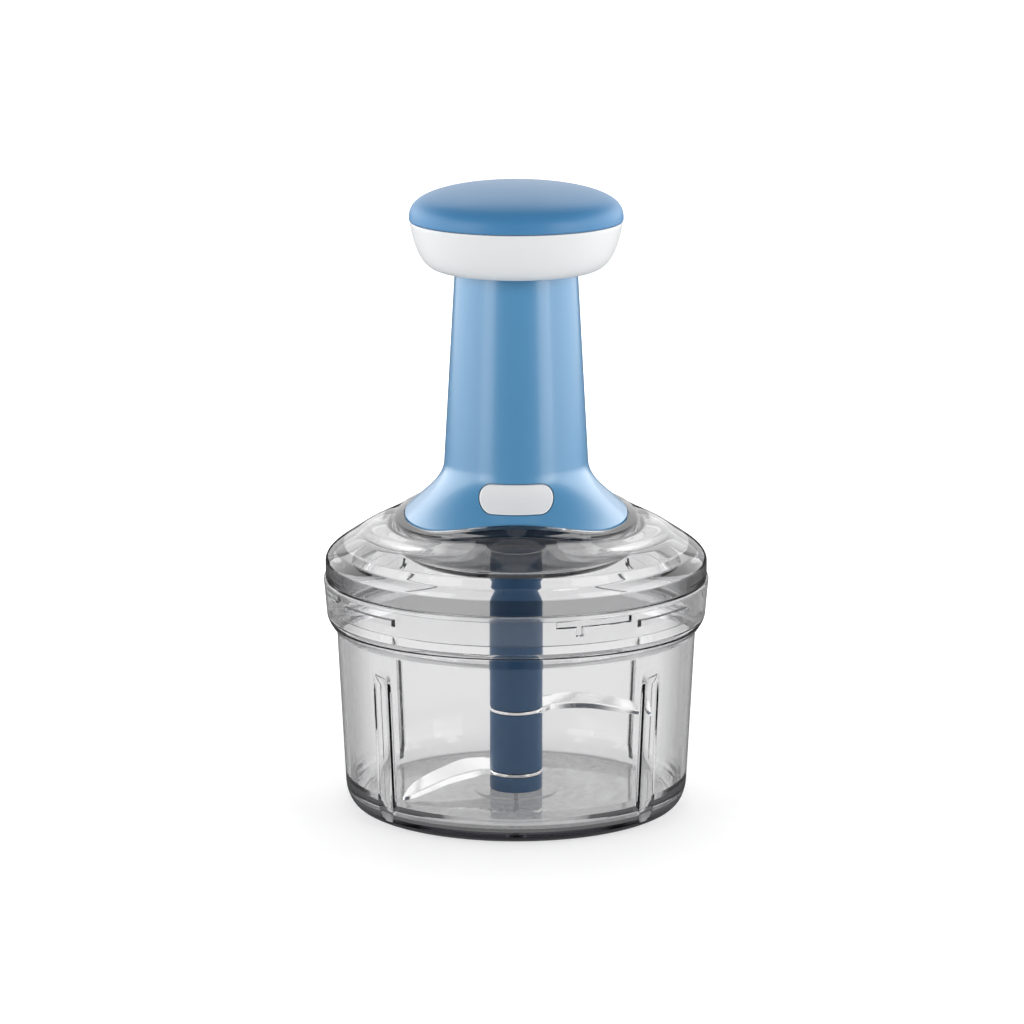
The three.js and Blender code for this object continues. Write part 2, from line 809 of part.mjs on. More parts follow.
// Bush at the column's mouth that the plunger tube slides in
function guideBush() {
  const bore = tubeRadius + slideGap;
  const sleeve = columnTopRadius - housingWall - slideGap;
  const flangeBottom = columnTop + seatGap;
  return lathe(closed([
    [bore, columnTop - bushLength],
    [sleeve, columnTop - bushLength],
    [sleeve, flangeBottom],
    [columnTopRadius - slideGap, flangeBottom],
    [columnTopRadius - slideGap, flangeBottom + bushFlangeHeight],
    [bore, flangeBottom + bushFlangeHeight],
  ]), partSegments);
}

// White bell of the knob, domed under the cap, with a boss for the knob screw
function knobShell() {
  const bell = [
    [knobRimRadius, knobBottom],
    [knobRimRadius + bellFirstHandle[0], knobBottom + bellFirstHandle[1]],
    [knobShellRadius - bellLastHandle[0], knobSeam - bellLastHandle[1]],
    [knobShellRadius, knobSeam],
  ];
  const domeRadius = capRadius - capWall - seatGap;
  const domeTop = capRise - capWall - seatGap;
  const innerBell = [
    [knobRimInner, knobBottom + shellWall],
    [bell[1][0] - shellWall, bell[1][1] + shellWall],
    [bell[2][0] - shellWall, bell[2][1] + shellWall],
    [domeRadius - shellWall, capBottom],
  ];
  const body = lathe([
    ...capCurve(domeRadius - shellWall, domeTop - shellWall, innerSteps).reverse(),
    ...curve(...innerBell, innerSteps).reverse().slice(1),
    [knobRimInner, knobBottom],
    ...curve(...bell),
    [domeRadius, knobSeam],
    ...capCurve(domeRadius, domeTop, innerSteps),
  ]);
  const boss = ring(knobBossRadius, 0, tubeTop + seatGap, shellApex - shellWall / 2, smallSegments);
  const hole = ring(
    screwShankRadius + screwHoleGap,
    0,
    tubeTop - overrun,
    shellApex - shellWall,
    smallSegments,
  );
  return cut(joined(body, boss), hole);
}

// Points of the cap's round dome from its lower edge in to the axis.
function capCurve(radius, rise, steps) {
  return Array.from({ length: steps + 1 }, (_, i) => {
    const angle = rightAngle * (steps - i) / steps;
    const across = i === steps ? 0 : radius * Math.sin(angle) ** capRoundShares[0];
    const up = i === 0 ? 0 : rise * Math.cos(angle) ** capRoundShares[1];
    return [across, capBottom + up];
  });
}

// Soft blue cap over the bell's dome
function knobCap() {
  return lathe([
    ...capCurve(capRadius - capWall, capRise - capWall, curveSteps).reverse(),
    ...capCurve(capRadius, capRise, curveSteps),
  ]);
}

// Plunger tube, closed at the top by the plate that the knob screw goes through
function plungerTube() {
  const plate = tubeTop - tubeTopThickness;
  const hole = screwShankRadius + screwHoleGap;
  return lathe(closed([
    [tubeRadius - tubeWall, tubeBottom],
    [tubeRadius, tubeBottom],
    [tubeRadius, tubeTop],
    [hole, tubeTop],
    [hole, plate],
    [tubeRadius - tubeWall, plate],
  ]), partSegments);
}

function knobScrew() {
  const bottom = tubeTop - tubeTopThickness - seatGap - screwHeadHeight;
  const length = tubeTopThickness + seatGap + tubeTopDrop - screwHoleGap;
  return screw(screwHeadRadius, screwHeadHeight, screwShankRadius, length, 0, 0, bottom);
}

// Nut in the tube's lower end, with a twisted slot and ears that straddle the key ribs
function driveNut() {
  const plug = tubeRadius - tubeWall - seatGap;
  const body = lathe(closed([
    [nutBoreRadius, nutFlangeBottom + nutThreadHeight],
    [0, nutFlangeBottom + nutThreadHeight],
    [0, nutFlangeBottom],
    [nutFlangeRadius, nutFlangeBottom],
    [nutFlangeRadius, nutFlangeTop],
    [plug, nutFlangeTop],
    [plug, nutFlangeTop + nutPlugHeight],
    [nutBoreRadius, nutFlangeTop + nutPlugHeight],
  ]), partSegments);
  const slot = twistedBar(
    spindleWidth + 2 * spindleSlotGap,
    spindleThickness + 2 * spindleSlotGap,
    nutFlangeBottom - overrun,
    nutFlangeBottom + nutThreadHeight + overrun,
  );
  const earOffset = (keyWidth / 2 + slideGap) / keyInnerRadius + nutEarAngle / 2;
  const ears = [];
  for (const side of [rightAngle, 3 * rightAngle]) {
    for (const way of [-1, 1]) {
      ears.push(sector(
        nutFlangeRadius - seatGap,
        nutEarRadius,
        side + way * earOffset,
        nutEarAngle / 2,
        nutFlangeBottom,
        nutFlangeTop,
      ));
    }
  }
  return cut(joined(body, ...ears), slot);
}

// Return spring between the drive base and the nut
function returnSpring() {
  return coil(springRadius, springWire, springTurns, webTop + seatGap, nutFlangeBottom - seatGap);
}

// Spindle: a journal in the bearing, a thrust collar and the twisted bar
function spiralSpindle() {
  const collarBottom = webTop + seatGap;
  const body = lathe([
    [0, baseBottom],
    [journalRadius, baseBottom],
    [journalRadius, collarBottom],
    [spindleCollarRadius, collarBottom],
    [spindleCollarRadius, collarBottom + spindleCollarHeight],
    [0, collarBottom + spindleCollarHeight],
  ], partSegments);
  const bar = twistedBar(spindleWidth, spindleThickness, collarBottom, spindleTop);
  const holeTop = socketTop + socketScrewLength - socketPlate + screwHoleGap;
  const hole = ring(socketScrewShankRadius + screwHoleGap, 0, baseBottom - overrun, holeTop, smallSegments);
  return cut(joined(body, bar), hole);
}

// Socket under the spindle, with two dogs that drive the blade stack's wings
function driveSocket() {
  const hole = socketScrewShankRadius + screwHoleGap;
  const cup = lathe(closed([
    [hole, socketRoof],
    [socketBore, socketRoof],
    [socketBore, socketBottom],
    [socketRadius, socketBottom],
    [socketRadius, socketTop],
    [hole, socketTop],
  ]), partSegments);
  const dogBottom = wingBottom + seatGap;
  const dogs = [0, Math.PI].map((angle) => sector(
    dogInnerRadius,
    socketBore + seatGap,
    angle,
    dogHalfAngle,
    dogBottom,
    socketRoof + seatGap,
  ));
  return joined(cup, ...dogs);
}

function socketScrew() {
  return screw(
    socketScrewHeadRadius,
    socketScrewHeadHeight,
    socketScrewShankRadius,
    socketScrewLength,
    0,
    0,
    socketScrewBottom,
  );
}

// Lock button: a plate that follows the flare, with a flange behind the wall and a spring pad
function lockButton() {
  const flangeInset = housingWall + slideGap;
  const face = stadiumBar(buttonWidth, buttonHeight)
    .intersect(cut(housingCore(-buttonProud), housingCore(flangeInset + seatGap)));
  const flangeWidth = buttonWidth + 2 * buttonFlange;
  const flangeHeight = buttonHeight + 2 * buttonFlange;
  const flange = stadiumBar(flangeWidth, flangeHeight)
    .intersect(cut(housingCore(flangeInset), housingCore(flangeInset + buttonFlangeThickness)));
  const padLength = skirtRadius - buttonSpringOuter;
  const rod = new THREE.CylinderGeometry(buttonSpringRadius, buttonSpringRadius, padLength, smallSegments);
  rod.translate(buttonSpringOffset, -(buttonSpringOuter + seatGap + padLength / 2), buttonMiddle);
  const pad = solid(rod).intersect(housingCore(flangeInset));
  return joined(face, flange, pad);
}

// Catch behind the button, whose hook holds the nut's flange down when the button is in
function lockCatch() {
  const armInner = catchArmRadius - catchThickness;
  const hookBottom = nutFlangeTop - stroke + slideGap;
  const top = hookBottom + catchHookHeight;
  const bottom = buttonMiddle - buttonHeight / 4;
  const arm = box(
    catchWidth,
    catchThickness,
    top - bottom,
    0,
    -(armInner + catchThickness / 2),
    (top + bottom) / 2,
  );
  const hook = box(
    catchWidth,
    catchHookLength + catchThickness,
    catchHookHeight,
    0,
    -(armInner - catchHookLength + (catchHookLength + catchThickness) / 2),
    top - catchHookHeight / 2,
  );
  const reach = skirtRadius - armInner;
  const foot = box(catchWidth, reach, buttonHeight / 2, 0, -(armInner + reach / 2), buttonMiddle)
    .intersect(housingCore(housingWall + slideGap + buttonFlangeThickness + slideGap));
  return joined(arm, hook, foot);
}

// Small spring that pushes the button out, lying along Y
function buttonSpring() {
  const radius = buttonSpringRadius - buttonSpringWire;
  const wound = coil(radius, buttonSpringWire, buttonSpringTurns, buttonSpringInner, buttonSpringOuter);
  return wound.rotate([90, 0, 0]).translate([buttonSpringOffset, 0, buttonMiddle]);
}

// A steel blade: a bevelled sheet between its cutting edge and its back, round a clamped hub
function blade(edgeShares, backShares, pitch, dip, bottom) {
  const path = (shares, lift) => new THREE.CatmullRomCurve3(shares.map(([x, y], i) => new THREE.Vector3(
    x * bladeReach,
    y * bladeReach,
    bottom + lift * pitchShares[i] - dip * dipShares[i],
  )));
  const edge = path(edgeShares, 0).getPoints(bladeSteps);
  const back = path(backShares, pitch).getPoints(bladeSteps);
  const up = (point, height) => point.clone().setZ(point.z + height);
  const rows = edge.map((near, i) => {
    const bevel = near.clone().lerp(back[i], bladeBevelShare);
    return [
      near,
      back[i],
      up(back[i], bladeThickness),
      up(bevel, bladeThickness),
      up(near, bladeEdgeThickness),
    ];
  });
  const around = rows[0].length;
  const corners = [];
  for (let i = 0; i < bladeSteps; i += 1) {
    for (let j = 0; j < around; j += 1) {
      const [a, b] = [i * around + j, i * around + (j + 1) % around];
      corners.push(a, b, b + around, a, b + around, a + around);
    }
  }
  const last = bladeSteps * around;
  for (let j = 1; j < around - 1; j += 1) {
    corners.push(0, j + 1, j, last, last + j, last + j + 1);
  }
  const geometry = new THREE.BufferGeometry().setFromPoints(rows.flat());
  geometry.setIndex(corners);
  const hub = ring(shaftRadius, 0, bottom, bottom + bladeThickness);
  const hole = ring(coreRadius + coreGap, 0, bottom - overrun, bottom + overrun, smallSegments);
  return cut(joined(solid(geometry), hub), hole);
}

function lowerBlade() {
  return blade(lowerEdgeShares, lowerBackShares, lowerPitch, lowerBladeDip, lowerBladeHeight);
}

function upperBlade() {
  return blade(upperEdgeShares, upperBackShares, upperPitch, 0, upperBladeHeight);
}

// Sleeves of the blade stack, threaded on the core
function shaftFoot() {
  return ring(shaftRadius, coreRadius + coreGap, footBottom, lowerBladeHeight - seatGap);
}

function shaftMiddle() {
  return ring(
    shaftRadius,
    coreRadius + coreGap,
    lowerBladeHeight + bladeThickness + seatGap,
    upperBladeHeight - seatGap,
  );
}

function shaftTop() {
  const boreTop = coreTop + seatGap;
  const bore = coreRadius + coreGap;
  const body = lathe([
    [0, boreTop],
    [bore, boreTop],
    [bore, upperBladeHeight + bladeThickness + seatGap],
    [shaftRadius, upperBladeHeight + bladeThickness + seatGap],
    [shaftRadius, wingBottom],
    [shaftNeckRadius, wingBottom],
    [shaftNeckRadius, shaftHeadTop],
    [0, shaftHeadTop],
  ], partSegments);
  const wings = [rightAngle, 3 * rightAngle].map((angle) => sector(
    shaftNeckRadius - seatGap,
    shaftRadius,
    angle,
    dogHalfAngle,
    wingBottom - seatGap,
    shaftHeadTop,
  ));
  return joined(body, ...wings);
}

// Steel core through the stack, bored from below for the pivot pin
function shaftCore() {
  const bore = pinRadius + pinGap;
  const boreTop = floorTop + pinHeight + pinGap;
  return lathe([
    [0, boreTop],
    [bore, boreTop],
    [bore, footBottom],
    [coreRadius, footBottom],
    [coreRadius, coreTop],
    [0, coreTop],
  ], smallSegments);
}

// Finishes
const finishes = {
  clear: { color: 0xb9bbbf, roughness: 0.08, metalness: 0, transparent: true, opacity: 0.35 },
  blue: { color: 0x5e93c3, roughness: 0.45, metalness: 0 },
  capBlue: { color: 0x4a7fb5, roughness: 0.5, metalness: 0 },
  white: { color: 0xf2f3f5, roughness: 0.4, metalness: 0 },
  navy: { color: 0x24405e, roughness: 0.35, metalness: 0 },
  steel: { color: 0xc9ccd0, roughness: 0.22, metalness: 1 },
  acetal: { color: 0xe6e3da, roughness: 0.5, metalness: 0 },
  silicone: { color: 0x8d9196, roughness: 0.6, metalness: 0 },
};

const chopper = new THREE.Group();

function place(name, finish, body) {
  const mesh = new THREE.Mesh(geometryOf(body), new THREE.MeshStandardMaterial(finishes[finish]));
  mesh.name = name;
  chopper.add(mesh);
}

place('bowl', 'clear', bowl());
place('pivot_pin', 'steel', pivotPin());
place('lid_seal', 'silicone', lidSeal());
place('lid', 'clear', lid());
place('handle_housing', 'blue', handleHousing());
place('drive_base', 'navy', driveBase());
screwAngles.forEach((angle, i) => place(`base_screw_${i + 1}`, 'steel', baseScrew(angle)));
place('guide_bush', 'acetal', guideBush());
place('return_spring', 'steel', returnSpring());
place('knob_cap', 'capBlue', knobCap());
place('knob_shell', 'white', knobShell());
place('plunger_tube', 'acetal', plungerTube());
place('drive_nut', 'acetal', driveNut());
place('knob_screw', 'steel', knobScrew());
place('spiral_spindle', 'steel', spiralSpindle());
place('drive_socket', 'navy', driveSocket());
place('socket_screw', 'steel', socketScrew());
place('lock_button', 'white', lockButton());
place('lock_catch', 'acetal', lockCatch());
place('button_spring', 'steel', buttonSpring());
place('shaft_foot', 'navy', shaftFoot());
place('lower_blade', 'steel', lowerBlade());
place('shaft_middle', 'navy', shaftMiddle());
place('upper_blade', 'steel', upperBlade());
place('shaft_top', 'navy', shaftTop());
place('shaft_core', 'steel', shaftCore());

export default chopper;
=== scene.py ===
# %% [markdown]
# # A press chopper in clear, blue and white plastic
#
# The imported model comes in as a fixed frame: every piece at its real size, in metres, with +Z up and the
# lock button towards -Y. This lesson gives those pieces their finished surfaces. Lengths are in
# millimetres, and `MM` turns them into metres when a mesh is made.

import json
import math

import bmesh
import bpy
import numpy as np
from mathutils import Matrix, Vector


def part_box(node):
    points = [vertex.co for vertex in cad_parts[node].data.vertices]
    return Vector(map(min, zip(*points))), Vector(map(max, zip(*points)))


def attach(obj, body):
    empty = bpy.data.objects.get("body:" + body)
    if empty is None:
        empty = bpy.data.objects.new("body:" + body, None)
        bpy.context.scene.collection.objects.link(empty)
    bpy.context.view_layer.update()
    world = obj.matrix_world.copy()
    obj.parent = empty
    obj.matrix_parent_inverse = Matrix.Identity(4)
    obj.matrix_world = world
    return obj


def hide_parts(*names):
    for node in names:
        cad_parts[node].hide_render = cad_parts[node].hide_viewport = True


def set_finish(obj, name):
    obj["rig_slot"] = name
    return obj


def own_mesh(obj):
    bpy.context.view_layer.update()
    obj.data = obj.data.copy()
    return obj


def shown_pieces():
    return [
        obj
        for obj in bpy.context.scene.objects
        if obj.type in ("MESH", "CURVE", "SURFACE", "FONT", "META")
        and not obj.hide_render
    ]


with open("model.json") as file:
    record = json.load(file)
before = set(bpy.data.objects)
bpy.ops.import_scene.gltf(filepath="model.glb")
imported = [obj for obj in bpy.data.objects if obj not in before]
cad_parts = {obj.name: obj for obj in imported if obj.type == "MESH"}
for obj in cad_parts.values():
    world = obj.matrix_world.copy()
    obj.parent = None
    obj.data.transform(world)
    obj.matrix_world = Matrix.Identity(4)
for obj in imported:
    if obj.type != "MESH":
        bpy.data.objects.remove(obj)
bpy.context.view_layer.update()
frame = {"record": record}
MM = 0.001
TURN = 2 * math.pi


def size_of(node):
    """Lowest and highest corner of a CAD node, in millimetres."""
    low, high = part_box(node)
    return np.array(low) / MM, np.array(high) / MM


# %% [markdown]
# ## Surfaces from grids
#
# Moulded pieces are turned or swept shapes. Each one is a grid of points, worked out with whole arrays,
# and one function turns any grid into quads. Rows or columns that meet again are wrapped, and a row that
# shrinks to a point is welded, so every piece is a closed skin with its faces out.

# %% Grid to mesh
SHARP = math.radians(38)
WELD = 1e-7


def points(*parts):
    """Arrays of one number per point, spread to one shape and joined into an array of points."""
    return np.stack(np.broadcast_arrays(*parts), axis=-1)


def new_object(name, data):
    """An object at the origin, linked to the scene."""
    made = bpy.data.objects.new(name, data)
    bpy.context.collection.objects.link(made)
    return made


def skin(name, grid, wrap_rows=False, wrap_columns=True):
    """Mesh of quads: each joins the points (i, j), (i, j+1), (i+1, j+1) and (i+1, j) of the grid."""
    rows, columns = grid.shape[:2]
    i = np.arange(rows if wrap_rows else rows - 1)[:, None]
    j = np.arange(columns if wrap_columns else columns - 1)
    row, next_row = i * columns, (i + 1) % rows * columns
    next_j = (j + 1) % columns
    quads = points(row + j, row + next_j, next_row + next_j, next_row + j)
    mesh = bpy.data.meshes.new(name)
    mesh.from_pydata((grid.reshape(-1, 3) * MM).tolist(), [], quads.reshape(-1, 4).tolist())
    work = bmesh.new()
    work.from_mesh(mesh)
    bmesh.ops.remove_doubles(work, verts=work.verts, dist=WELD)
    bmesh.ops.dissolve_degenerate(work, edges=work.edges, dist=WELD / 10)
    bmesh.ops.recalc_face_normals(work, faces=work.faces)
    work.to_mesh(mesh)
    work.free()
    mesh.shade_smooth()
    mesh.set_sharp_from_angle(angle=SHARP)
    return new_object(name, mesh)


def together(name, *parts):
    """One object that holds the meshes of several closed parts."""
    work = bmesh.new()
    for part in parts:
        work.from_mesh(part.data)
        bpy.data.objects.remove(part)
    mesh = bpy.data.meshes.new(name)
    work.to_mesh(mesh)
    work.free()
    return new_object(name, mesh)


def dress(piece, node, body, finish):
    """The piece stands for its CAD node, rides on the node's body and takes the record's finish."""
    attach(piece, body)
    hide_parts(node)
    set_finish(piece, finish)
    print(f"{piece.name}: {len(piece.data.polygons)} faces on {body}")


# %% [markdown]
# ## Outlines with moulded corners
#
# No edge of a moulding is truly sharp, and the small radius on each corner is what catches the light. An
# outline is a list of corners with a rounding for each. Two points close to the ends of every straight
# side keep the smooth shading flat between them.

# %% Outlines
ARC_STEPS = 5
NEAR_END = 0.15
LONGEST = 4.0


def outline(*corners, closed=False):
    """Points along straight sides joined by arcs; a corner is (r, z, radius of its arc).

    An arc of radius q at a corner where the path turns by w starts and ends q * tan(w / 2) from the
    corner. Sides longer than LONGEST are split evenly.
    """
    count = len(corners)
    dots = []
    for i, (r, z, q) in enumerate(corners):
        here = np.array([r, z])
        inner = 0 < i < count - 1
        if q == 0 or not (closed or inner):
            dots.append(here[None])
            continue
        a = np.array(corners[i - 1][:2]) - here
        b = np.array(corners[(i + 1) % count][:2]) - here
        a, b = a / np.linalg.norm(a), b / np.linalg.norm(b)
        bend = math.pi - math.acos(np.clip(a @ b, -1, 1))
        centre = here + (a + b) / np.linalg.norm(a + b) * q / math.cos(bend / 2)
        start = here + a * q * math.tan(bend / 2) - centre
        end = here + b * q * math.tan(bend / 2) - centre
        t = np.linspace(0, 1, ARC_STEPS + 1)[:, None]
        arc = (np.sin((1 - t) * bend) * start + np.sin(t * bend) * end) / math.sin(bend)
        dots.append(centre + arc)
    return split(np.concatenate(dots), closed)


def split(path, closed=False, longest=LONGEST):
    """The path with extra points: one near each end of a side, and even ones on a long side."""
    if closed:
        path = np.concatenate([path, path[:1]])
    made = []
    for p, q in zip(path, path[1:]):
        length = np.linalg.norm(q - p)
        parts = max(1, math.ceil(length / longest))
        t = np.arange(parts) / parts
        if length > 1:
            t = np.sort(np.concatenate([t, [NEAR_END / length, 1 - NEAR_END / length]]))
        made.append(p + (q - p) * t[:, None])
    if not closed:
        made.append(path[-1:])
    return np.concatenate(made)


def bernstein(t):
    """Shares of a cubic's four controls: (1-t)^3, 3t(1-t)^2, 3t^2(1-t) and t^3."""
    return points((1 - t) ** 3, 3 * t * (1 - t) ** 2, 3 * t**2 * (1 - t), t**3)


def bezier(controls, steps):
    """Points on a cubic curve: the sum of the four controls times their shares."""
    blend = bernstein(np.linspace(0, 1, steps + 1))
    return np.einsum("tk,...kc->...tc", blend, np.asarray(controls, float))


def round_z(r, a, z):
    """Points at radius r and angle a: x = r sin(a), y = -r cos(a), so angle 0 is the front."""
    return points(r * np.sin(a), -r * np.cos(a), z)


def turned(name, profile, angles, closed=True):
    """Profile points (r, z) turned round Z. There is one profile for all angles, or one for each."""
    grid = round_z(profile[..., 0], angles[:, None], profile[..., 1])
    return skin(name, grid, wrap_rows=True, wrap_columns=closed)


def even(count):
    """Equal steps round a full turn."""
    return np.arange(count) * TURN / count


def smoothstep(low, high, x):
    """0 below low, 1 above high, and 3t^2 - 2t^3 between them."""
    t = np.clip((x - low) / (high - low), 0, 1)
    return t * t * (3 - 2 * t)


# %% [markdown]
# ## The bowl
#
# The bowl is a tapered cup with a wider collar. Four flutes are pressed into its wall: grooves outside,
# ribs inside. A flute is the hollow that a round-ended bar leaves, so the wall's radius is the smaller of
# the plain wall and the bar's surface, blended over a hair's width. Angles crowd together at the flutes
# and at the lock lugs.

# %% Bowl sizes and angles
RIM, _, BOWL_TOP = size_of("bowl")[1]
BOWL_WALL = 2.3
FOOT_FILLET = 10.3
WALL_FOOT = np.array([RIM - 8.1, FOOT_FILLET])
WALL_HEAD = np.array([RIM - 5.1, BOWL_TOP - 21])
COLLAR_FOOT = np.array([RIM - 1.2, BOWL_TOP - 13.6])
COLLAR_BORE = RIM - 2.4
BOWL_BORE = RIM - 7.4
SHELF = BOWL_TOP - 16.1
SHELF_CHAMFER = 1.6
FLOOR_TOP = 4
BOSS_R = 16.3
BOSS_TOP = 4.5
PIN_HOLE_R = 2.8
PIN_HOLE_BOTTOM = 1.7
FLUTE_ANGLES = np.radians([48.5, 131.5, 228.5, 311.5])
FLUTE_RADIUS = 5.4
FLUTE_DEPTH = 1.8
FLUTE_TOP = 56.2
LUG_MIDDLES = np.radians([52, 128, 232, 308])
LUG_HALF, STOP_HALF = np.radians([12, 1])
LUG_LENGTH = 1.5
BOWL_LUGS = LUG_MIDDLES - math.radians(28)
BOWL_STOPS = LUG_MIDDLES - math.radians(33)
LUG_EDGE = 0.004
LUG_FADE = 0.2
NEAR = 0.01


def crowded(base, places, reach, count):
    """Even angles plus closer ones within reach of each place."""
    extra = (places[:, None] + np.linspace(-reach, reach, count)).ravel()
    return np.unique(np.round(np.concatenate([even(base), extra % TURN]), 5))


def edges_of(middles, half):
    """Angles of both sides of each lug."""
    return np.concatenate([middles - half, middles + half])


lug_edges = np.concatenate([edges_of(BOWL_LUGS, LUG_HALF), edges_of(BOWL_STOPS, STOP_HALF)])
bowl_angles = np.unique(
    np.concatenate([crowded(144, FLUTE_ANGLES, 0.12, 33), crowded(4, lug_edges, LUG_EDGE, 3)])
)
print("bowl angles:", len(bowl_angles))


# %% Bowl shape
def angle_from(angles, middle):
    """Signed angle from a middle angle, between minus and plus half a turn."""
    return (angles - middle + math.pi) % TURN - math.pi


def soft_least(a, b, width=0.1):
    """Smaller of two values with a rounded corner: -w ln(exp(-a/w) + exp(-b/w))."""
    low = np.minimum(a, b)
    return low - width * np.log(np.exp((low - a) / width) + np.exp((low - b) / width))


def flute_surface(angles, z, radius):
    """Radius of the flute bar's near side: bar centre less sqrt(radius^2 - distance^2)."""
    slope = (WALL_HEAD[0] - WALL_FOOT[0]) / (WALL_HEAD[1] - WALL_FOOT[1])
    wall = WALL_FOOT[0] + slope * (z - WALL_FOOT[1])
    nearest = np.min(np.abs(angle_from(angles[:, None], FLUTE_ANGLES)), axis=1)
    across = wall * np.sin(np.minimum(nearest, 1))[:, None]
    above = np.maximum(z - FLUTE_TOP, 0)
    left = np.maximum(radius**2 - across**2 - above**2, 0)
    return wall - FLUTE_DEPTH + FLUTE_RADIUS - np.sqrt(left)


def lug_mask(angles, z, middles, low, high, half=LUG_HALF):
    """1 on a lock lug and 0 beside it, with steep soft sides."""
    nearest = np.min(np.abs(angle_from(angles[:, None], middles)), axis=1)[:, None]
    beside = smoothstep(half - LUG_EDGE, half + LUG_EDGE, nearest)
    above_low = smoothstep(low - LUG_FADE, low + LUG_FADE, z)
    above_high = smoothstep(high - LUG_FADE, high + LUG_FADE, z)
    return (1 - beside) * (above_low * (1 - above_high))


def make_bowl():
    """Profile from the axis under the floor, out, up and back down inside to the pin hole."""
    t = np.linspace(0, math.pi / 2, 10)
    foot = points(RIM - 13.6 + 5.5 * np.sin(t), FOOT_FILLET * (1 - np.cos(t)))
    step = COLLAR_FOOT - WALL_HEAD
    middle = [WALL_HEAD + step * [1 / 2, 1 / 3], COLLAR_FOOT - step * [0, 1 / 3]]
    shoulder = bezier([WALL_HEAD, *middle, COLLAR_FOOT], 12)
    outside = np.concatenate([[[0, 0]], foot, shoulder])
    lug_ends = [(COLLAR_BORE, BOWL_TOP - depth, 0) for depth in (2.1, 2.5, 4.4, 4.9, 7.8, 8.2)]
    rim = outline(
        (*COLLAR_FOOT, 0),
        (RIM, BOWL_TOP, 0.7),
        (COLLAR_BORE, BOWL_TOP, 0.5),
        *lug_ends,
        (COLLAR_BORE, SHELF + SHELF_CHAMFER, 0.2),
        (COLLAR_BORE - SHELF_CHAMFER, SHELF, 0.2),
        (BOWL_BORE, SHELF, 0.9),
        (BOWL_BORE, WALL_HEAD[1], 6),
        (RIM - 10.4, FLOOR_TOP, 9),
        (BOSS_R, FLOOR_TOP, 0.2),
        (BOSS_R, BOSS_TOP, 0.2),
        (PIN_HOLE_R, BOSS_TOP, 0.2),
        (PIN_HOLE_R, PIN_HOLE_BOTTOM, 0.2),
        (0, PIN_HOLE_BOTTOM, 0),
    )
    profile = np.concatenate([split(outside, longest=3.0)[:-1], rim])
    r, z = profile[:, 0], profile[:, 1]
    outer = np.arange(len(z)) < np.argmax(z > BOWL_TOP - NEAR)
    groove = flute_surface(bowl_angles, z, FLUTE_RADIUS)
    rib = flute_surface(bowl_angles, z, FLUTE_RADIUS + BOWL_WALL)
    pressed = soft_least(r, np.where(outer, groove, rib))
    new_r = np.where((z < BOWL_TOP - 20) & (r > 30), pressed, r)
    in_collar = ~outer & (np.abs(r - COLLAR_BORE) < NEAR)
    lug = lug_mask(bowl_angles, z, BOWL_LUGS, BOWL_TOP - 4.7, BOWL_TOP - 2.3)
    stop = lug_mask(bowl_angles, z, BOWL_STOPS, BOWL_TOP - 8, BOWL_TOP - 4, STOP_HALF)
    new_r = np.where(in_collar, new_r - LUG_LENGTH * np.maximum(lug, stop), new_r)
    return turned("clear_bowl", points(new_r, z), bowl_angles, closed=False)


dress(make_bowl(), "bowl", "bowl", "bowl_clear")

# %% [markdown]
# ## The wave
#
# The handle's skirt ends in a wavy edge, high over the button, low at both sides of it and level behind.
# The lid's collar follows it. One function gives the edge's height at any angle: two half cosine waves
# that meet level in the valley.

# %% Height of the wavy edge
EDGE_VALLEY = BOWL_TOP + 23.8
EDGE_FRONT = 5.6
EDGE_BACK = 5.4
VALLEY_AT, BACK_AT = np.radians([58, 155])


def edge_height(angles):
    """Valley + rise * (1 + cos(pi * share)) / 2, with its own rise and share before and behind it."""
    away = np.abs(angle_from(angles, 0))
    front = EDGE_FRONT * (1 + np.cos(math.pi * np.minimum(away / VALLEY_AT, 1))) / 2
    share = np.clip((away - VALLEY_AT) / (BACK_AT - VALLEY_AT), 0, 1)
    back = EDGE_BACK * (1 - np.cos(math.pi * share)) / 2
    return EDGE_VALLEY + np.where(away < VALLEY_AT, front, back)


print("front, valley, back:", np.round(edge_height(np.array([0, VALLEY_AT, math.pi])), 1))

# %% [markdown]
# ## The lid
#
# The lid is one clear moulding: a dome from the rim up to a collar, a well in the middle for the handle,
# and a ring below that carries the lock lugs. Its outline is drawn once, for a level edge. Then each
# point is lifted by the wave times a weight that is 1 at the collar and fades down the dome and the well.

# %% Lid shape
LID_BOTTOM = BOWL_TOP + 0.3
LID_RIM_TOP = LID_BOTTOM + 6.3
LID_R = RIM - 0.8
SKIRT = 43.2
COLLAR_R = SKIRT + 3.7
DOME_RISE = 21.6
LEVEL = LID_RIM_TOP + DOME_RISE
EDGE_OVER = 1.3
WELL_R = SKIRT - 1.3
RING_R = RIM - 4.2
RING_BOTTOM = LID_BOTTOM - 12.2
LID_LUG_LOW = RING_BOTTOM + 4.2
LID_LUG_HIGH = LID_LUG_LOW + 2.6
LUG_BAND = 0.2
HOLE_R = 10.7
WELL_FLOOR = LID_BOTTOM + 6.85
WELL_FLOOR_TOP = WELL_FLOOR + 2.05
LID_WALL = 2.2


def dome_line(inset, steps):
    """The dome's cubic from the collar to the rim, moved in by an inset."""
    span = LID_R - COLLAR_R
    controls = [
        [COLLAR_R, LEVEL - inset],
        [COLLAR_R + 0.68 * span - inset / 2, LID_RIM_TOP + 0.343 * DOME_RISE - inset],
        [COLLAR_R + 0.985 * span - inset, LID_RIM_TOP + 0.24 * DOME_RISE - inset / 2],
        [LID_R - inset, LID_RIM_TOP],
    ]
    return bezier(controls, steps)


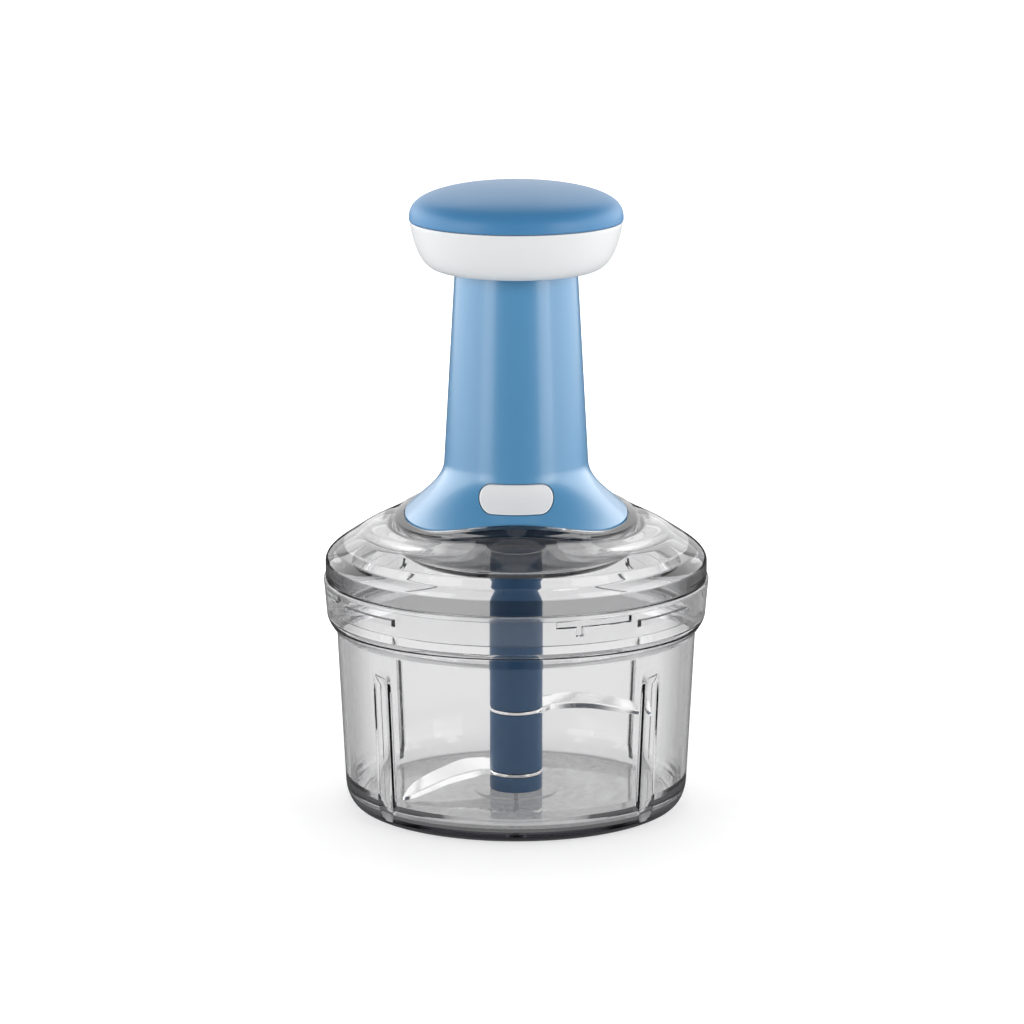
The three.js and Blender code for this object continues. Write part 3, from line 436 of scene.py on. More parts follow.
def lid_profile():
    """Closed outline of the lid for a level edge, and the weight of the wave at each point."""
    edge = LEVEL + EDGE_OVER
    outer = dome_line(0, 26)
    inner = dome_line(LID_WALL, 26)
    inner = inner[(inner[:, 0] < RING_R - 4) & (inner[:, 0] > COLLAR_R + 1)][::-1]
    top = outline(
        (HOLE_R, WELL_FLOOR, 0.5),
        (HOLE_R, WELL_FLOOR_TOP, 0.5),
        (WELL_R, WELL_FLOOR_TOP, 1.2),
        (WELL_R, edge - 2.2, 0.3),
        (SKIRT + 0.4, edge - 2.2, 0.3),
        (SKIRT + 0.4, edge - 0.3, 0.4),
        (COLLAR_R, LEVEL, 0.6),
        (*outer[2], 0),
    )
    rim = outline(
        (LID_R, LID_RIM_TOP, 0),
        (LID_R, LID_BOTTOM, 0.5),
        (RING_R, LID_BOTTOM, 0.5),
        (RING_R, LID_LUG_HIGH + LUG_BAND, 0),
        (RING_R, LID_LUG_HIGH - LUG_BAND, 0),
        (RING_R, LID_LUG_LOW + LUG_BAND, 0),
        (RING_R, LID_LUG_LOW - LUG_BAND, 0),
        (RING_R, RING_BOTTOM, 0.3),
        (RING_R - 2, RING_BOTTOM, 0.4),
        (RING_R - 2, LID_BOTTOM + 8.7, 1.5),
        (*inner[0], 0),
    )
    under = outline(
        (*inner[-1], 0),
        (COLLAR_R - 1.4, LEVEL - 3.8, 0.8),
        (WELL_R + 2, LEVEL - 5.8, 0.6),
        (WELL_R + 2, WELL_FLOOR, 3.6),
        (HOLE_R, WELL_FLOOR, 0.5),
    )
    dots = np.concatenate([top[1:-1], outer[2:-1], rim[:-1], inner[:-1], under[:-1]])
    r, z = dots[:, 0], dots[:, 1]
    on_dome = 1 - smoothstep(COLLAR_R, COLLAR_R + 13.5, r)
    in_well = smoothstep(WELL_FLOOR_TOP + 3, LEVEL - 6, z)
    return dots, np.where(r > COLLAR_R - 2, on_dome, in_well)


def make_lid():
    """The outline at every angle, with its wave, and with the lugs that stand out from the ring."""
    dots, weight = lid_profile()
    near_lugs = crowded(4, edges_of(LUG_MIDDLES, LUG_HALF), LUG_EDGE, 3)
    angles = np.unique(np.concatenate([even(180), near_lugs]))
    wave = edge_height(angles) - EDGE_OVER - LEVEL
    r, z = dots[:, 0], dots[:, 1] + wave[:, None] * weight
    lug = lug_mask(angles, z, LUG_MIDDLES, LID_LUG_LOW, LID_LUG_HIGH)
    r = np.where(np.abs(r - RING_R) < NEAR, r + LUG_LENGTH * lug, r)
    return turned("clear_lid", points(r, z), angles)


dress(make_lid(), "lid", "lid", "lid_clear")

# %% [markdown]
# ## The handle housing
#
# The column tapers gently, then flares out to the wavy skirt. The flare is a cubic curve whose last two
# controls follow the edge, so each angle has its own section. A stadium-shaped window for the lock button
# is cut through the front by an applied Boolean.

# %% Housing shape
COLUMN_TOP = size_of("handle_housing")[1][2]
COLUMN_TOP_R = 23.6
FLARE_TOP_R = 27.95
FLARE_TOP = COLUMN_TOP - 76.1
HOUSING_WALL = 2.2
LIP = 1.9
LIP_ROLL = 0.8
CONTROL_NORMALS = np.array([[1, 0.06], [0.97, 0.25], [0.62, 0.78], [0.68, 0.73]])


def flare_controls(angles, inset):
    """Four controls of the flare for each angle, moved in by an inset along their normals."""
    edge = edge_height(angles)
    last = EDGE_VALLEY + 7.8 + 0.4 * (edge - EDGE_VALLEY)
    radii = (FLARE_TOP_R, FLARE_TOP_R + 0.3, SKIRT - 6.4, SKIRT)
    heights = points(FLARE_TOP, FLARE_TOP - 7.6, last, edge)
    return points(radii, heights) - inset * CONTROL_NORMALS


def column_radius(z):
    """Radius of the tapered column at a height."""
    share = (z - FLARE_TOP) / (COLUMN_TOP - FLARE_TOP)
    return FLARE_TOP_R + (COLUMN_TOP_R - FLARE_TOP_R) * share


def make_housing():
    """Mouth, column, flare and lip on the outside, then back up at a wall's distance."""
    angles = even(240)
    edge = edge_height(angles)[:, None]
    heights = np.linspace(COLUMN_TOP - 0.6, FLARE_TOP, 24)
    column = points(column_radius(heights), heights)
    mouth_r = COLUMN_TOP_R - HOUSING_WALL
    mouth = outline(
        (mouth_r, COLUMN_TOP - 1, 0),
        (mouth_r, COLUMN_TOP, 0.4),
        (COLUMN_TOP_R, COLUMN_TOP, 0.6),
        (COLUMN_TOP_R, COLUMN_TOP - 1, 0),
    )
    outer = bezier(flare_controls(angles, 0), 30)
    inner = bezier(flare_controls(angles, HOUSING_WALL), 20)[:, ::-1]
    t = np.linspace(0, math.pi / 2, 6)
    roll_z = edge - (LIP - LIP_ROLL) - LIP_ROLL * np.sin(t)
    lip = points(SKIRT - LIP_ROLL * (1 - np.cos(t)), roll_z)
    lip_inner = points(SKIRT - 2.6, edge - LIP)
    back_up = column[::-1] - [HOUSING_WALL, 0]
    sections = [mouth[1:-1], column[1:-1], outer, lip, lip_inner, inner[:, 1:], back_up[1:-1]]
    everywhere = [np.broadcast_to(part, (len(angles), *part.shape[-2:])) for part in sections]
    return turned("handle_shell", np.concatenate(everywhere, axis=1), angles)


housing = make_housing()

# %% [markdown]
# ## The lock button
#
# The button's face follows the flare and stands a hair proud of it. A grid walks round a stadium in one
# direction and across the button's section in the other. The flare's radius at a height has no plain
# formula, so a bisection finds the curve's parameter for all points at once.

# %% Button shape
BUTTON_MIDDLE = np.mean(size_of("lock_button"), axis=0)[2]
BUTTON_WIDTH = 28.2
BUTTON_HEIGHT = 9.5
BUTTON_GAP = 0.35
PROUD = 0.3
RIM_ROLL = 0.6
CUT_NEAR, CUT_FAR = -20, -50


def flare_radius(z, angles):
    """Radius of the housing's outside at heights and angles of equal shape."""
    controls = flare_controls(angles, 0)
    low = np.zeros_like(z)
    high = np.ones_like(z)
    for _ in range(32):
        t = (low + high) / 2
        blend = bernstein(t)
        above = np.sum(blend * controls[..., 1], axis=-1) > z
        low = np.where(above, t, low)
        high = np.where(above, high, t)
    on_flare = np.sum(blend * controls[..., 0], axis=-1)
    return np.where(z > FLARE_TOP, column_radius(z), on_flare)


def stadium(radius, arc=20, side=14):
    """X and Z round the button's stadium, at a radius from the line between its two centres."""
    quarter = math.pi / 2
    half = (BUTTON_WIDTH - BUTTON_HEIGHT) / 2
    bend = np.linspace(-quarter, quarter, arc)
    run = np.linspace(half, -half, side + 2)[1:-1]
    start = np.concatenate([np.full(arc, half), run, np.full(arc, -half), -run])
    flat = np.full(side, quarter)
    way = np.concatenate([bend, flat, bend + math.pi, -flat])
    return start + radius * np.cos(way), BUTTON_MIDDLE + radius * np.sin(way)


def make_button():
    """Section (inset, height over the flare): crown, rounded rim, side, flange, back."""
    half = BUTTON_HEIGHT / 2
    t = np.linspace(0, math.pi / 2, 6)
    rim = points(RIM_ROLL * (1 - np.sin(t)), PROUD - RIM_ROLL * (1 - np.cos(t)))
    crown = points(np.linspace(half, 0.8, 7), PROUD)
    under = np.array([[0, -2.6], [-1.3, -2.6], [-1.3, -4.1], [half, -4.1]])
    section = np.concatenate([crown, rim, under])
    inset, rise = section[:, :1], section[:, 1:]
    x, z = stadium(half - inset)
    angles = np.arcsin(np.clip(x / flare_radius(z, np.zeros_like(z)), -0.9, 0.9))
    for _ in range(3):
        radius = flare_radius(z, angles) + rise
        angles = np.arcsin(np.clip(x / radius, -0.9, 0.9))
    return skin("lock_button_face", points(x, -radius * np.cos(angles), z))


def cut_window(shell):
    """Takes the button's outline plus a gap out of the housing's front."""
    x, z = stadium(BUTTON_HEIGHT / 2 + BUTTON_GAP)
    wide = np.array([[0], [1], [1], [0]])
    y = np.array([[CUT_NEAR], [CUT_NEAR], [CUT_FAR], [CUT_FAR]])
    bar = skin("window_bar", points(x * wide, y, np.where(wide, z, BUTTON_MIDDLE)))
    cutter = shell.modifiers.new("window", "BOOLEAN")
    cutter.operation = "DIFFERENCE"
    cutter.solver = "EXACT"
    cutter.object = bar
    shown = shell.evaluated_get(bpy.context.evaluated_depsgraph_get())
    made = bpy.data.meshes.new_from_object(shown)
    shell.modifiers.remove(cutter)
    shell.data = made
    bpy.data.objects.remove(bar)
    made.shade_smooth()
    made.set_sharp_from_angle(angle=SHARP)
    return shell


dress(cut_window(housing), "handle_housing", "handle", "sky_blue")
dress(make_button(), "lock_button", "button", "white")

# %% [markdown]
# ## The knob
#
# A white bell carries a soft blue cap. The cap's outline is a superellipse, rounder at its rim than an
# ellipse, and the bell's is one cubic curve. Both are hollow.

# %% Knob shapes
cap_low, cap_high = size_of("knob_cap")
CAP_R = cap_high[0]
CAP_BOTTOM = cap_low[2]
CAP_RISE = cap_high[2] - cap_low[2]
CAP_WALL = 1.6
SEAM = CAP_BOTTOM - 0.3
BELL_BOTTOM = size_of("knob_shell")[0][2]
BELL_FOOT_R = 30
BELL_BORE = 28.2
BELL_R = 41


def cap_line(radius, rise, steps):
    """(r / radius)^1.96 + (h / rise)^2.98 = 1, from the rim to the axis."""
    t = np.linspace(math.pi / 2, 0, steps + 1)
    r = radius * np.sin(t) ** (2 / 1.96)
    h = rise * np.abs(np.cos(t)) ** (2 / 2.98)
    h[0] = 0
    r[-1] = 0
    return points(r, CAP_BOTTOM + h)


def make_cap():
    """A thin dome: up inside from its open rim, and back over the outside."""
    bore = CAP_R - CAP_WALL
    outer = cap_line(CAP_R, CAP_RISE, 40)
    inner = cap_line(bore, CAP_RISE - CAP_WALL, 24)[::-1]
    rim = outline(
        (bore, CAP_BOTTOM + 0.6, 0),
        (bore, CAP_BOTTOM, 0.2),
        (CAP_R, CAP_BOTTOM, 0.35),
        (CAP_R, CAP_BOTTOM + 0.6, 0),
    )
    profile = np.concatenate([inner[:-1], rim, outer[1:]])
    return turned("soft_cap", profile, even(144), closed=False)


def make_bell():
    """The bell from the ceiling down inside, round its foot, up outside and over under the cap."""
    inner_foot = (BELL_BORE, BELL_BOTTOM + 1.7)
    outer = bezier(
        [[BELL_FOOT_R, BELL_BOTTOM], [36, BELL_BOTTOM + 0.8], [39.4, SEAM - 10.7], [BELL_R, SEAM]], 30
    )
    inner = bezier(
        [inner_foot, [34.3, BELL_BOTTOM + 2.5], [37.7, SEAM - 9], [37.6, CAP_BOTTOM]], 16
    )[::-1]
    hidden_r = CAP_R - CAP_WALL - 0.3
    dome = cap_line(hidden_r, CAP_RISE - CAP_WALL - 0.3, 12)
    ceiling = cap_line(hidden_r - 1.7, CAP_RISE - CAP_WALL - 2, 10)[::-1]
    foot = outline((*inner_foot, 0), (BELL_BORE, BELL_BOTTOM, 0.4), (BELL_FOOT_R, BELL_BOTTOM, 0))
    shoulder = outline((BELL_R, SEAM - 0.8, 0), (BELL_R, SEAM, 0.35), (hidden_r, SEAM, 0))
    profile = np.concatenate([ceiling, inner[1:], foot[1:], outer[1:-2], shoulder[1:], dome])
    return turned("white_bell", profile, even(144), closed=False)


dress(make_cap(), "knob_cap", "knob", "cap_blue")
dress(make_bell(), "knob_shell", "knob", "white")

# %% [markdown]
# ## The blade stack
#
# Navy sleeves and two curved steel blades are threaded on a core. The sleeves are plain turned pieces
# with a small rounding at each end, which draws the fine seams that show beside the blades.

# %% Sleeves
SHAFT_R = size_of("shaft_middle")[1][0]
CORE_R = 4.3
NECK_R = 5
WING_HALF = math.radians(25)
SEAM_EDGE = 0.35


def ring_outline(inner, outer, bottom, top, rounding):
    """A rectangle with rounded corners, as the section of a tube."""
    return outline(
        (inner, bottom, rounding / 2),
        (outer, bottom, rounding),
        (outer, top, rounding),
        (inner, top, rounding / 2),
        closed=True,
    )


def tube(name, inner, outer, bottom, top, rounding, count=96):
    """A plain turned tube."""
    return turned(name, ring_outline(inner, outer, bottom, top, rounding), even(count))


def make_sleeve(name, node):
    """A sleeve of the stack, as long as its CAD node."""
    low, high = size_of(node)
    return tube(name, CORE_R, SHAFT_R, low[2], high[2], SEAM_EDGE)


def capped(grid):
    """The grid with one more row at each end, where all points are the end's centre."""
    ends = grid[[0, -1]].mean(axis=1, keepdims=True) + 0 * grid[[0, -1]]
    return np.concatenate([ends[:1], grid, ends[1:]])


def sector(name, inner, outer, middle, bottom, top):
    """A block between two radii and two heights, half a wing's width to both sides of an angle."""
    section = ring_outline(inner, outer, bottom, top, 0.3)
    angles = np.linspace(middle - WING_HALF, middle + WING_HALF, 14)[:, None]
    return skin(name, capped(round_z(section[:, 0], angles, section[:, 1])))


def make_shaft_top():
    """The long sleeve, its neck and the two wings that the socket drives."""
    low, high = size_of("shaft_top")
    wing = high[2] - 4.5
    core_top = high[2] - 9.7
    profile = outline(
        (0, core_top, 0),
        (CORE_R, core_top, 0.2),
        (CORE_R, low[2], 0.2),
        (SHAFT_R, low[2], SEAM_EDGE),
        (SHAFT_R, wing, 0.5),
        (NECK_R, wing, 0.4),
        (NECK_R, high[2], 0.4),
        (0, high[2], 0),
    )
    shaft = turned("shaft", profile, even(96), closed=False)
    sides = (math.pi / 2, -math.pi / 2)
    wings = [sector("wing", NECK_R - 0.4, SHAFT_R, a, wing - 0.4, high[2]) for a in sides]
    return together("drive_shaft", shaft, *wings)


dress(make_sleeve("foot_sleeve", "shaft_foot"), "shaft_foot", "blades", "navy")
dress(make_sleeve("middle_sleeve", "shaft_middle"), "shaft_middle", "blades", "navy")
dress(make_shaft_top(), "shaft_top", "blades", "navy")

# %% [markdown]
# ## The blades
#
# A blade is sheet steel between a bevelled cutting edge and a back, pressed to a gentle lift along its
# length. Both borders are smooth curves through a few points, given as shares of the blade's reach. The
# surface runs from one border to the other, and the bevel takes the quarter next to the edge.

# %% Blade shapes
REACH = 51.5
BLADE = 1.2
EDGE_THICKNESS = 0.25
BACK_THICKNESS = 0.9
CLAMP_GAP = 0.3
BEVEL = 0.24
PITCH_SHARES = np.array([0, 0.25, 0.7, 1, 0.85, 0.6, 0.3, 0])
DIP_SHARES = np.array([0, 0, 0.08, 0.2, 0.42, 0.66, 0.88, 1])
UPPER_EDGE = [
    (0, -0.17), (0.19, -0.11), (0.264, -0.023), (0.419, 0.019),
    (0.575, 0.008), (0.728, -0.072), (0.845, -0.132), (0.969, -0.216),
]
UPPER_BACK = [
    (0, 0.25), (0.217, 0.295), (0.346, 0.299), (0.503, 0.252),
    (0.658, 0.198), (0.79, 0.148), (0.91, 0.05), (0.979, -0.205),
]
LOWER_EDGE = [
    (0, -0.17), (-0.19, -0.113), (-0.26, -0.101), (-0.338, -0.132),
    (-0.491, -0.206), (-0.641, -0.351), (-0.765, -0.455), (-0.843, -0.48),
]
LOWER_BACK = [
    (0, 0.25), (-0.198, 0.3), (-0.3, 0.262), (-0.421, 0.212),
    (-0.575, 0.072), (-0.7, -0.04), (-0.8, -0.2), (-0.852, -0.465),
]


def through(marks, count):
    """Catmull-Rom curve: between points b and c with neighbours a and d, the cubic
    b + t(c-a)/2 + t^2(2a-5b+4c-d)/2 + t^3(3b-a-3c+d)/2."""
    padded = np.concatenate([2 * marks[:1] - marks[1:2], marks, 2 * marks[-1:] - marks[-2:-1]])
    place = np.linspace(0, len(marks) - 1, count)
    i = np.minimum(place.astype(int), len(marks) - 2)
    t = (place - i)[:, None]
    a, b, c, d = padded[i], padded[i + 1], padded[i + 2], padded[i + 3]
    square = 2 * a - 5 * b + 4 * c - d
    cube = 3 * b - a - 3 * c + d
    return b + t * (c - a) / 2 + t**2 * square / 2 + t**3 * cube / 2


def make_blade(name, edge_shares, back_shares, pitch, dip, bottom):
    """Sheet = edge + v * (back - edge), thickened upwards, with a hub that the core passes through."""

    def border(shares, lift):
        rise = bottom + lift * PITCH_SHARES - dip * DIP_SHARES
        return through(np.column_stack([np.array(shares) * REACH, rise]), 60)

    edge = border(edge_shares, 0)[:, None]
    back = border(back_shares, pitch)[:, None]
    v = np.concatenate([[0], np.linspace(0.02, BEVEL, 5), np.linspace(BEVEL + 0.02, 0.98, 10), [1]])
    thick = EDGE_THICKNESS + (BLADE - EDGE_THICKNESS) * np.minimum(v / BEVEL, 1)
    thick[-1] = BACK_THICKNESS
    sheet = edge + (back - edge) * v[:, None]
    top = sheet + thick[:, None] * [0, 0, 1]
    around = np.concatenate([sheet[:, ::-1], top], axis=1)
    hub = tube(name + "_hub", CORE_R, SHAFT_R, bottom, bottom + BLADE, 0.2)
    return together(name, skin(name + "_sheet", capped(around)), hub)


for name, below, edge, back, pitch, dip in (
    ("lower_blade", "shaft_foot", LOWER_EDGE, LOWER_BACK, 2, 5.4),
    ("upper_blade", "shaft_middle", UPPER_EDGE, UPPER_BACK, 2.5, 0),
):
    bottom = size_of(below)[1][2] + CLAMP_GAP
    blade = make_blade(name + "_steel", edge, back, pitch, dip, bottom)
    dress(blade, name, "blades", "blade_steel")

# %% [markdown]
# ## What shows through the clear lid
#
# The navy drive base closes the handle from below, and the socket under it turns the blade stack. With
# the seal, they are seen through the lid, so they get rounded outlines too.

# %% Drive base, socket and seal
BASE_R = SKIRT - 2.9
BASE_WALL = 2
BASE_UNDER_EDGE = 1.6
HUB_IN, HUB_OUT = 13.2, 22.8
SPINDLE_HOLE = 5.4
SCREW_HOLE = 1.7


def make_base():
    """Hub, plate and rim in one outline; the rim's top follows the wavy edge a little below it."""
    bottom = size_of("drive_base")[0][2]
    level = EDGE_VALLEY - BASE_UNDER_EDGE
    dots = outline(
        (SPINDLE_HOLE, bottom + 2.9, 0.2),
        (HUB_IN, bottom + 2.9, 0.5),
        (HUB_IN, bottom, 0.6),
        (HUB_OUT, bottom, 0.9),
        (HUB_OUT, bottom + 2.5, 0.8),
        (BASE_R, bottom + 2.5, 1.2),
        (BASE_R, level, 0.5),
        (BASE_R - BASE_WALL, level, 0.5),
        (BASE_R - BASE_WALL, bottom + 4.5, 0.5),
        (HUB_OUT - BASE_WALL, bottom + 4.5, 0.5),
        (HUB_OUT - BASE_WALL, bottom + 2, 0.5),
        (HUB_IN + BASE_WALL, bottom + 2, 0.5),
        (HUB_IN + BASE_WALL, bottom + 6.2, 0.5),
        (SPINDLE_HOLE, bottom + 6.2, 0.3),
        closed=True,
    )
    angles = even(160)
    r, z = dots[:, 0], dots[:, 1]
    on_rim = (r > BASE_R - 3) & (z > level - 0.6)
    z = z + (edge_height(angles) - EDGE_VALLEY)[:, None] * on_rim
    return turned("navy_base", points(r, z), angles)


def make_socket():
    """A cup with two dogs inside that push the shaft's wings."""
    low, high = size_of("drive_socket")
    outer, bore = high[0], high[0] - 1.7
    ceiling = high[2] - 1.8
    cup = outline(
        (SCREW_HOLE, ceiling, 0.2),
        (bore, ceiling, 0.5),
        (bore, low[2], 0.4),
        (outer, low[2], 0.5),
        (outer, high[2], 0.6),
        (SCREW_HOLE, high[2], 0.2),
        closed=True,
    )
    sides = (0, math.pi)
    dogs = [sector("dog", NECK_R + 0.6, bore + 0.2, a, low[2] + 1, ceiling + 0.2) for a in sides]
    return together("navy_socket", turned("cup", cup, even(96)), *dogs)


def make_seal():
    """The soft ring under the lid's rim."""
    low, high = size_of("lid_seal")
    return tube("seal_ring", RING_R + 0.3, high[0], low[2], high[2], 0.4, count=160)


dress(make_base(), "drive_base", "handle", "navy")
dress(make_socket(), "drive_socket", "spindle", "navy")
dress(make_seal(), "lid_seal", "seal", "silicone")

# %% [markdown]
# ## The return spring
#
# A coil between the drive base and the nut pushes the knob up again. It is drawn here as a wire along a
# helix with its end turns side by side.

# %% Return spring
SPRING_WIRE = 1.6
SPRING_TURNS = 7
END_PITCH = 1.05 * SPRING_WIRE


def make_spring():
    """Wire centre (R sin a, -R cos a, climb), and round it a circle of the wire's radius.

    The climb is END_PITCH a turn at both ends and takes up the rest of the height between them.
    """
    low, high = size_of("return_spring")
    radius = high[0] - SPRING_WIRE / 2
    t = np.linspace(0, 1, SPRING_TURNS * 48 + 1)
    open_turns = np.cumsum(smoothstep(0.08, 0.24, t) * (1 - smoothstep(0.76, 0.92, t)))
    ends = END_PITCH * SPRING_TURNS
    rise = high[2] - low[2] - SPRING_WIRE
    climb = low[2] + SPRING_WIRE / 2 + ends * t + (rise - ends) * open_turns / open_turns[-1]
    thick = np.where((t > 0) & (t < 1), SPRING_WIRE / 2, 0)[:, None]
    around = even(16)
    r = radius + thick * np.cos(around)
    z = climb[:, None] + thick * np.sin(around)
    return skin("spring_coil", round_z(r, (TURN * SPRING_TURNS * t)[:, None], z))


spring = make_spring()
dress(spring, "return_spring", "handle", "steel")
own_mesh(spring)

# %% [markdown]
# ## Shared effects
#
# Real mouldings are never quite even: the skin of the mould leaves a fine grain, and the plastic flows
# into faint broad tones. Used pieces carry hairline scratches. Each of these is a node group with its own
# inputs, used in several finishes.

# %% Node helpers
def feed(node, **values):
    """Sets a node's properties and sockets by name, and links a socket to another node's output.

    An underscore in the name of a socket stands for a space.
    """
    for key, value in values.items():
        socket = node.inputs.get(key.replace("_", " "))
        if socket is None:
            setattr(node, key, value)
        else:
            give(socket, value)
    return node


def give(socket, value):
    """Links a socket to an output, or sets its number or colour."""
    if isinstance(value, bpy.types.NodeSocket):
        socket.id_data.links.new(value, socket)
    else:
        socket.default_value = value


def add(tree, kind, **values):
    """A new node, fed with values."""
    return feed(tree.nodes.new("ShaderNode" + kind), **values)


def maths(operation, *operands):
    """The result of a Math node; its operands are numbers and outputs, and it joins their tree."""
    tree = next(one.id_data for one in operands if isinstance(one, bpy.types.NodeSocket))
    node = add(tree, "Math", operation=operation)
    for socket, value in zip(node.inputs, operands):
        give(socket, value)
    return node.outputs[0]


def times(first, second):
    """The product of two values."""
    return maths("MULTIPLY", first, second)


def most(first, second):
    """The larger of two values."""
    return maths("MAXIMUM", first, second)


def ramp(value, start, end, first=0.0, last=1.0, kind="LINEAR"):
    """First up to the start, last from the end on, and a line or a soft step between them."""
    limits = {"From_Min": start, "From_Max": end, "To_Min": first, "To_Max": last}
    node = add(value.id_data, "MapRange", interpolation_type=kind, Value=value, **limits)
    return node.outputs[0]


def object_place(tree):
    """The Object coordinates."""
    return add(tree, "TexCoord").outputs["Object"]


def distance(place):
    """The length of a vector."""
    node = add(place.id_data, "VectorMath", operation="LENGTH", Vector=place)
    return node.outputs["Value"]


def axis(place, letter):
    """One number of a vector."""
    return add(place.id_data, "SeparateXYZ", Vector=place).outputs[letter]


def new_group(name, defaults, results):
    """An empty shader group. Its sockets are numbers, but for those named Color."""
    group = bpy.data.node_groups.new(name, "ShaderNodeTree")

    def socket(label, side):
        kind = "NodeSocketColor" if label == "Color" else "NodeSocketFloat"
        return group.interface.new_socket(label, in_out=side, socket_type=kind)

    for label, default in defaults.items():
        socket(label, "INPUT").default_value = default
    for label in results:
        socket(label, "OUTPUT")
    return group, group.nodes.new("NodeGroupInput").outputs, group.nodes.new("NodeGroupOutput")


# %% Moulded skin
def make_mould_group():
    """Grain: fine noise. Flow: broad noise. Tone = Color * (1 - Spread/2 + Spread * flow)."""
    defaults = {"Color": (0.5, 0.5, 0.5, 1), "Spread": 0.05, "Roughness": 0.4, "Uneven": 0.08}
    defaults["Grain Scale"] = 900.0
    group, given, result = new_group("MouldedSkin", defaults, ["Color", "Roughness", "Grain"])
    place = object_place(group)
    flow = add(group, "TexNoise", Vector=place, Scale=26.0, Detail=3.0)
    grain = add(group, "TexNoise", Vector=place, Scale=given["Grain Scale"], Detail=2.0)
    swing = maths("SUBTRACT", flow.outputs["Fac"], 0.5)
    tone = maths("MULTIPLY_ADD", swing, given["Spread"], 1.0)
    scaled = add(group, "VectorMath", operation="SCALE", Vector=given["Color"], Scale=tone)
    rough = maths("MULTIPLY_ADD", swing, given["Uneven"], given["Roughness"])
    feed(result, Color=scaled.outputs[0], Roughness=rough, Grain=grain.outputs["Fac"])
    return group


MOULD = make_mould_group()


# %% Hairlines
def make_hairline_group():
    """Scratches: thin threads where a warped wave is near its peak, broken up by noise."""
    defaults = {"Scale": 60.0, "Amount": 0.5, "Roughness": 0.05}
    group, given, result = new_group("Hairlines", defaults, ["Roughness", "Mask"])
    place = object_place(group)
    wave = add(group, "TexWave", Vector=place, Scale=given["Scale"], Distortion=9.0, Detail=2.0)
    patches = add(group, "TexNoise", Vector=place, Scale=35.0, Detail=2.0)
    thin = ramp(wave.outputs["Fac"], 0.985, 1.0)
    some = ramp(patches.outputs["Fac"], 0.52, 0.6)
    mask = times(times(thin, some), given["Amount"])
    feed(result, Roughness=maths("ADD", mask, given["Roughness"]), Mask=mask)
    return group


HAIRLINES = make_hairline_group()


# %% Painted shade zones
SOFT_EDGE = 0.0004


def make_painted_shade_group():
    """Mask that is 1 between two heights and two radii, where shade is painted into clear plastic: a
    product of four soft steps.
    """
    labels = ("Bottom", "Top", "Inner", "Outer")
    group, given, result = new_group("DeepTint", dict.fromkeys(labels, 0.0), ["Mask"])
    place = object_place(group)
    height = axis(place, "Z")
    flat = add(group, "VectorMath", operation="MULTIPLY", Vector=place)
    flat.inputs[1].default_value = (1, 1, 0)
    radius = distance(flat.outputs[0])
    mask = 1.0
    for label, value, way in zip(labels, (height, height, radius, radius), (1, -1, 1, -1)):
        past = maths("SUBTRACT", value, given[label])
        soft = ramp(past, -SOFT_EDGE * way, SOFT_EDGE * way, kind="SMOOTHSTEP")
        mask = times(soft, mask)
    feed(result, Mask=mask)
    return group


PAINTED_SHADE_ZONE = make_painted_shade_group()

# %% [markdown]
# ## Finishes
#
# Each finish is a Principled BSDF that gets its uneven tone and gloss from the groups. The clear plastic
# is real glass optics with an index of 1.5 and a faint smoky absorption inside, so long paths through
# rims and edges turn darker by themselves. Shade is also painted into its colour: darker where the skin
# is seen edge-on, and in a few zones given by height and radius. Lamps reach through it by a transparent
# stand-in that only shadow rays see.


# %% Opaque finishes
GRAIN_DEPTH = 0.00008


def surface(name):
    """A material with a Principled BSDF, its tree and the shader."""
    material = bpy.data.materials.new(name)
    material.use_nodes = True
    tree = material.node_tree
    return material, tree, tree.nodes["Principled BSDF"]


def effect(tree, group, **values):
    """The outputs of a node that holds a group."""
    return add(tree, "Group", node_tree=group, **values).outputs


def plastic(name, color, roughness, grain, gloss=0.5, spread=0.06, coat=0.0):
    """Coloured moulding with its grain as a fine bump."""
    material, tree, shader = surface(name)
    mould = effect(tree, MOULD, Color=(*color, 1), Roughness=roughness, Spread=spread)
    bump = add(tree, "Bump", Height=mould["Grain"], Strength=grain, Distance=GRAIN_DEPTH)
    feed(shader, Base_Color=mould["Color"], Roughness=mould["Roughness"], Normal=bump.outputs[0])
    feed(shader, Specular_IOR_Level=gloss, Coat_Weight=coat, Coat_Roughness=0.2)
    return material


def steel(name, color, roughness, scratch):
    """Ground steel: metal with hairlines in its gloss."""
    material, tree, shader = surface(name)
    mould = effect(tree, MOULD, Color=(*color, 1), Roughness=roughness, Spread=0.08, Uneven=0.12)
    lines = effect(tree, HAIRLINES, Scale=140.0, Amount=scratch, Roughness=mould["Roughness"])
    feed(shader, Base_Color=mould["Color"], Roughness=lines["Roughness"], Metallic=1.0)
    return material


finish_of = {
    "sky_blue": plastic("sky_blue_plastic", (0.085, 0.315, 0.58), 0.34, 0.12, gloss=1.0, coat=0.7),
    "cap_blue": plastic("soft_blue_cap", (0.066, 0.26, 0.52), 0.4, 0.3),
    "white": plastic("white_plastic", (0.895, 0.91, 0.92), 0.3, 0.06, spread=0.02),
    "navy": plastic("navy_plastic", (0.018, 0.07, 0.155), 0.36, 0.1, gloss=0.2),
    "acetal": plastic("slippery_plastic", (0.75, 0.73, 0.67), 0.45, 0.1),
    "steel": steel("plain_steel", (0.56, 0.57, 0.6), 0.28, 0.2),
    "blade_steel": steel("ground_steel", (0.93, 0.93, 0.92), 0.2, 0.3),
}


# %% Clear finishes
SHADOW_SHARE = 0.45
TURN_START, TURN_END = 0.4, 0.68
SMOKE = (0.6, 0.6, 0.62)


